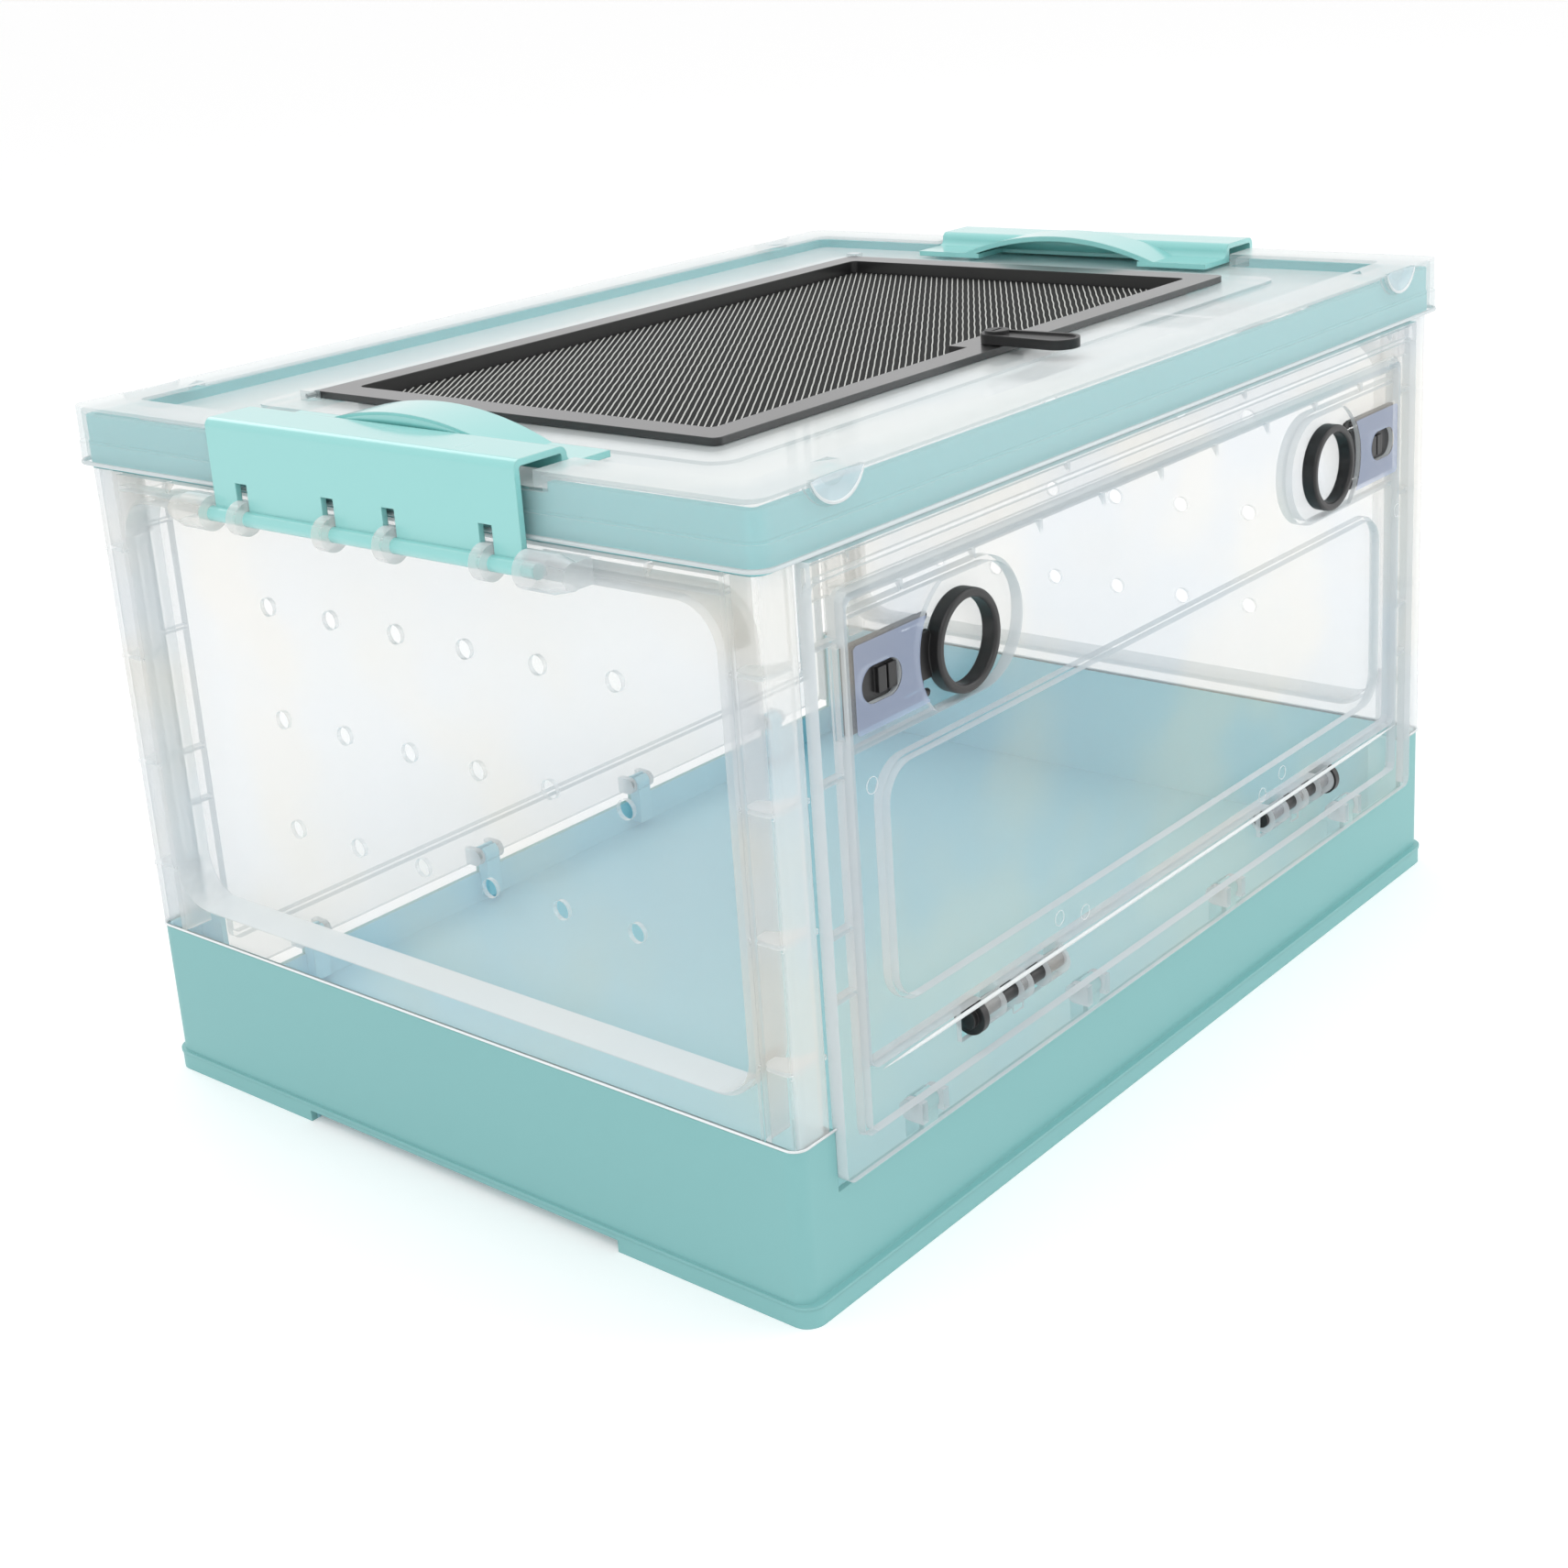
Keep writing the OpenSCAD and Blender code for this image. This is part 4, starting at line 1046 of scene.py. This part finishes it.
@dataclass
class SeamHighlights:
    """Milky beads that paint light over the shade at the seam where the short walls and their columns
    stand on the tray.
    """

    radius: float = 0.45 * MM
    raise_up: float = 0.4 * MM
    corner: float = 5.0 * MM
    corner_steps: int = 9
    post_length: float = 19.0 * MM
    post_gap: float = 0.3 * MM

    def seam(self, side: int) -> Shape:
        """Shape the bead that paints light over the seam at one end of the keeper.

        The path runs along the first column, round its corner, along the short wall, and
        back round the other corner.

        Args:
            side: -1 for the left end and 1 for the right one.

        Returns:
            Points and faces.
        """
        low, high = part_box("right_panel")
        end_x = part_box("front_panel")[1].x + self.post_length + self.post_gap
        quarter = np.linspace(0.0, np.pi / 2, self.corner_steps)
        angle = np.concatenate([[-np.pi / 2], -quarter[::-1], quarter, [np.pi / 2]])
        centre_x = np.full(len(angle), end_x - self.corner)
        centre_x[[0, -1]] = end_x - self.post_length
        centre_y = np.repeat([-1.0, 1.0], len(angle) // 2) * (high.y - self.corner)
        out = spots(side * np.cos(angle), np.sin(angle), 0.0)
        path = spots(side * centre_x, centre_y, low.z + self.raise_up) + out * self.corner
        return carried_tube(path, out, UP, self.radius, loop=False)

    def build(self, finishes: Finishes) -> Pieces:
        """Add both seams.

        Args:
            finishes: The materials by name.

        Returns:
            The new pieces.
        """
        # Painted light: a milky bead over the shaded seam at both ends
        piece = mesh_piece("wall_seam_highlights", *joined([self.seam(-1), self.seam(1)]), finishes["milky_and_highlight_line"])
        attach(piece, "tray")
        return [piece]


@dataclass
class ArchWebs:
    """The thin web that closes the outer end of each latch's finger arch."""

    set_in: float = 16.55 * MM
    thickness: float = 1.1 * MM
    crest_up: float = 7.5 * MM
    foot_up: float = 3.2 * MM
    arch_radius: float = 137.96 * MM
    half_sheet: float = 1.1 * MM
    half_width: float = 28.4 * MM
    steps: int = 33

    def web(self, side: int) -> Shape:
        """Shape one web.

        At a distance y from the middle the web reaches up to crest - r + sqrt(r^2 - y^2),
        the middle of the arch's sheet.

        Args:
            side: -1 for the left latch and 1 for the right one.

        Returns:
            Points and faces.
        """
        _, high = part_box("lid")
        y = np.linspace(-self.half_width, self.half_width, self.steps)
        crest = high.z + self.crest_up - self.half_sheet
        top = crest - self.arch_radius + np.sqrt(self.arch_radius**2 - y**2)
        foot = high.z + self.foot_up
        outer = side * (high.x - self.set_in)
        inner = side * (high.x - self.set_in - self.thickness)
        ring = ((outer, foot), (outer, top), (inner, top), (inner, foot))
        points = np.stack([spots(x, y, z) for x, z in ring], 1).reshape(-1, 3)
        return points, turned_outward(points, bar_faces(self.steps))

    def build(self, finishes: Finishes) -> Pieces:
        """Add both webs.

        Args:
            finishes: The materials by name.

        Returns:
            The new pieces.
        """
        pieces = []
        for side, word in ((-1, "left"), (1, "right")):
            piece = mesh_piece(f"arch_web_{word}", *self.web(side), finishes["latch_teal"])
            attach(piece, f"latch_{word}")
            pieces.append(piece)
        return pieces


# ---- Dressing the frame ----
DRESS: dict[str, tuple[str, ...]] = {
    "tray_teal": ("base_tray",),
    "band_teal": ("top_frame",),
    "latch_teal": ("latch_left", "latch_right"),
    "side_clear": ("left_panel", "right_panel"),
    "long_clear": ("front_panel", "back_panel"),
    "door_clear": ("front_door",),
    "lid_clear": ("lid",),
    "black_plastic": ("ring_bolt_left", "ring_bolt_right", "door_pin_left", "door_pin_right"),
    "window_black": ("window_frame",),
    "catch_black": ("window_catch", "catch_tongue"),
    "mesh_black": ("window_mesh",),
    "foot_rubber": (
        "foot_pad_front_left", "foot_pad_front_right", "foot_pad_back_left", "foot_pad_back_right",
    ),
}


def make_finishes() -> Finishes:
    """Build every finish once.

    Returns:
        The materials by name.
    """
    grain = grain_group()
    # A plastic of a single hue keeps it in its clouds and at its edges
    even = {hue: {"hue": hue, "warm": hue, "cut": hue} for hue in Hue}
    recipes = (
        # The tray's inside wears painted light that falls through the clear walls
        Moulding("tray_teal", Hue.TRAY, roughness=0.42, grain_depth=0.015,
                 inside_light_hues=(Hue.TRAY_LIT_NEAR, Hue.TRAY_LIT_FAR)),
        Moulding("band_teal", Hue.BAND, roughness=0.5, grain_depth=0.01),
        Moulding("latch_teal", Hue.LATCH, roughness=0.3, grain_depth=0.02, coat=0.9),
        # The black parts carry a stronger painted highlight on their edges
        Moulding("black_plastic", Hue.BLACK, roughness=0.38, edge_highlight=0.6),
        Moulding("window_black", Hue.BLACK, roughness=0.34, grain_depth=0.05, edge_highlight=0.6, coat=0.6),
        Moulding("catch_black", Hue.BLACK, roughness=0.4, edge_highlight=0.6),
        Moulding("mesh_black", Hue.MESH, roughness=0.8, gloss=0.15),
        # The ribs' pale colour is a painted glint on the black mesh
        Moulding("mesh_rib_glint", Hue.RIB_GLINT, roughness=0.6, gloss=0.2),
        Moulding("foot_rubber", Hue.RUBBER, roughness=0.8),
        ClearPlastic("side_clear", (Axis.X, Axis.Y), hue=Hue.COLUMN, cut=Hue.MILK,
                     face=0.10, slant=0.22, edge=0.6, second=0.6, shade=0.25),
        ClearPlastic("long_clear", (Axis.Y,), face=0.08, edge=0.55),
        ClearPlastic("door_clear", (Axis.Y,), hue=Hue.DOOR, face=0.08, edge=0.5),
        ClearPlastic("hazy_clear", (Axis.Y,), **even[Hue.HAZE], face=0.40),
        # A milky line finish; on the door's lower edge and the wall seams it paints light
        ClearPlastic("milky_and_highlight_line", (Axis.Y,), **even[Hue.MILK], face=0.55),
        ClearPlastic("faint_line", (Axis.Y,), **even[Hue.MILK], face=0.25, edge=0.1),
        ClearPlastic("lip_clear", (Axis.Z,), **even[Hue.LIP], face=0.7),
        ClearPlastic("scoop_clear", (Axis.Y,), **even[Hue.DISH], face=0.5),
        ClearPlastic("lid_clear", (Axis.Z,), hue=Hue.FROST, warm=Hue.PEARL, cut=Hue.SKIRT,
                     face=0.48, slant=0.2, edge=-0.28, shade=0.2),
    )
    return {recipe.name: recipe.build(grain) for recipe in recipes}


def dress(finishes: Finishes) -> None:
    """Give every node of the frame its finish.

    Args:
        finishes: The materials by name.
    """
    for name, nodes in DRESS.items():
        for node in nodes:
            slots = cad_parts[node].data.materials
            slots.clear()
            slots.append(finishes[name])
            LOG.info("%s wears %s", node, name)


# ---- Studio ----
@dataclass
class Studio:
    """A pale floor, a white surround, soft lamps and the camera."""

    lens: float = 53.24
    shift: tuple[float, float] = (0.0146, -0.0936)
    sensor: float = 36.0
    clip_start: float = 0.01
    position: Place = (-0.6921, -0.5763, 0.4272)
    azimuth: float = math.radians(48.82)
    pitch: float = math.radians(17.47)
    roll: float = math.radians(-4.07)
    floor_size: float = 80.0
    surround: float = 0.85
    floor_glow: float = 0.17

    def camera(self) -> bpy.types.Object:
        """Place the camera by its heading, its pitch below the horizon and its roll.

        Returns:
            The camera.
        """
        sin_a, cos_a = math.sin(self.azimuth), math.cos(self.azimuth)
        sin_p, cos_p = math.sin(self.pitch), math.cos(self.pitch)
        ahead = Vector((sin_a * cos_p, cos_a * cos_p, -sin_p))
        level = Vector((cos_a, -sin_a, 0.0))
        upright = level.cross(ahead)
        right = level * math.cos(self.roll) + upright * math.sin(self.roll)
        up = right.cross(ahead)
        data = bpy.data.cameras.new("camera")
        data.lens = self.lens
        data.sensor_width = self.sensor
        data.shift_x, data.shift_y = self.shift
        data.clip_start = self.clip_start
        camera = bpy.data.objects.new("camera", data)
        turn = Matrix((right, up, -ahead)).transposed().to_4x4()
        camera.matrix_world = Matrix.Translation(self.position) @ turn
        bpy.context.scene.collection.objects.link(camera)
        bpy.context.scene.camera = camera
        return camera

    def lamp(self, name: str, place: Place, target: Place, size: float, power: float) -> None:
        """Hang a square soft lamp.

        Args:
            name: The lamp's name.
            place: Where it hangs, in metres.
            target: The point it shines at.
            size: Side length in metres.
            power: Power in watts.
        """
        data = bpy.data.lights.new(name, "AREA")
        data.shape = "SQUARE"
        data.size = size
        data.energy = power
        lamp = bpy.data.objects.new(name, data)
        lamp.location = place
        lamp.rotation_euler = (Vector(target) - Vector(place)).to_track_quat("-Z", "Y").to_euler()
        bpy.context.scene.collection.objects.link(lamp)

    def world(self) -> None:
        """Make the surround white to the eye and softer as a light."""
        world = bpy.data.worlds.new("surround")
        world.use_nodes = True
        bpy.context.scene.world = world
        graph = Graph(world.node_tree)
        glow = world.node_tree.nodes["Background"]
        glow.inputs["Color"].default_value = (1.0, 1.0, 1.0, 1.0)
        extra = graph.math("MULTIPLY", self.looked_at(graph), 1.0 - self.surround)
        graph.link(graph.math("ADD", extra, self.surround), glow.inputs["Strength"])

    def looked_at(self, graph: Graph) -> Socket:
        """Tell rays of the eye, of a reflection and through glass from rays of light.

        Args:
            graph: The graph to work in.

        Returns:
            A mask that is 1 on the rays that see the background.
        """
        path = graph.add("ShaderNodeLightPath")
        seen = path.outputs["Is Glossy Ray"]
        for kind in ("Is Camera Ray", "Is Transmission Ray"):
            seen = graph.math("MAXIMUM", seen, path.outputs[kind])
        return seen

    def floor(self) -> None:
        """Lay a white floor that keeps the keeper's shadow."""
        half = self.floor_size / 2
        corner = half * np.array([[-1, -1, 0], [1, -1, 0], [1, 1, 0], [-1, 1, 0]])
        material = bpy.data.materials.new("floor")
        material.use_nodes = True
        shader = material.node_tree.nodes["Principled BSDF"]
        shader.inputs["Base Color"].default_value = (*Hue.PAPER.value, 1.0)
        shader.inputs["Roughness"].default_value = 0.9
        shader.inputs["Specular IOR Level"].default_value = 0.1
        shader.inputs["Emission Color"].default_value = (1.0, 1.0, 1.0, 1.0)
        graph = Graph(material.node_tree)
        glow = graph.math("MULTIPLY", self.looked_at(graph), self.floor_glow)
        graph.link(glow, shader.inputs["Emission Strength"])
        floor = mesh_piece("floor", corner, np.array([[0, 1, 2, 3]]), material)

    def build(self) -> None:
        """Put up the whole studio."""
        self.camera()
        self.world()
        self.floor()
        self.lamp("key", place=(-1.6, -0.9, 2.2), target=(0.0, 0.0, 0.12), size=1.6, power=15.0)
        self.lamp("fill", place=(1.8, -1.8, 1.3), target=(0.1, 0.0, 0.12), size=1.6, power=13.0)
        self.lamp("back", place=(0.4, 2.2, 1.9), target=(0.0, 0.0, 0.15), size=1.4, power=9.0)
        bpy.context.scene.view_settings.view_transform = "Standard"


def main() -> None:
    """Dress the keeper, add its fine pieces and put up the studio."""
    logging.basicConfig(level=logging.INFO, format="%(name)s: %(message)s")
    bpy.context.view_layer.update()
    Studio().build()
    finishes = make_finishes()
    dress(finishes)
    for assembly in (MeshWindow(), LidTrim(), DoorTrim(), BoltLegs(), SeamHighlights(), ArchWebs()):
        for piece in assembly.build(finishes):
            LOG.info("added %s", piece.name)


if __name__ == "__main__":
    main()
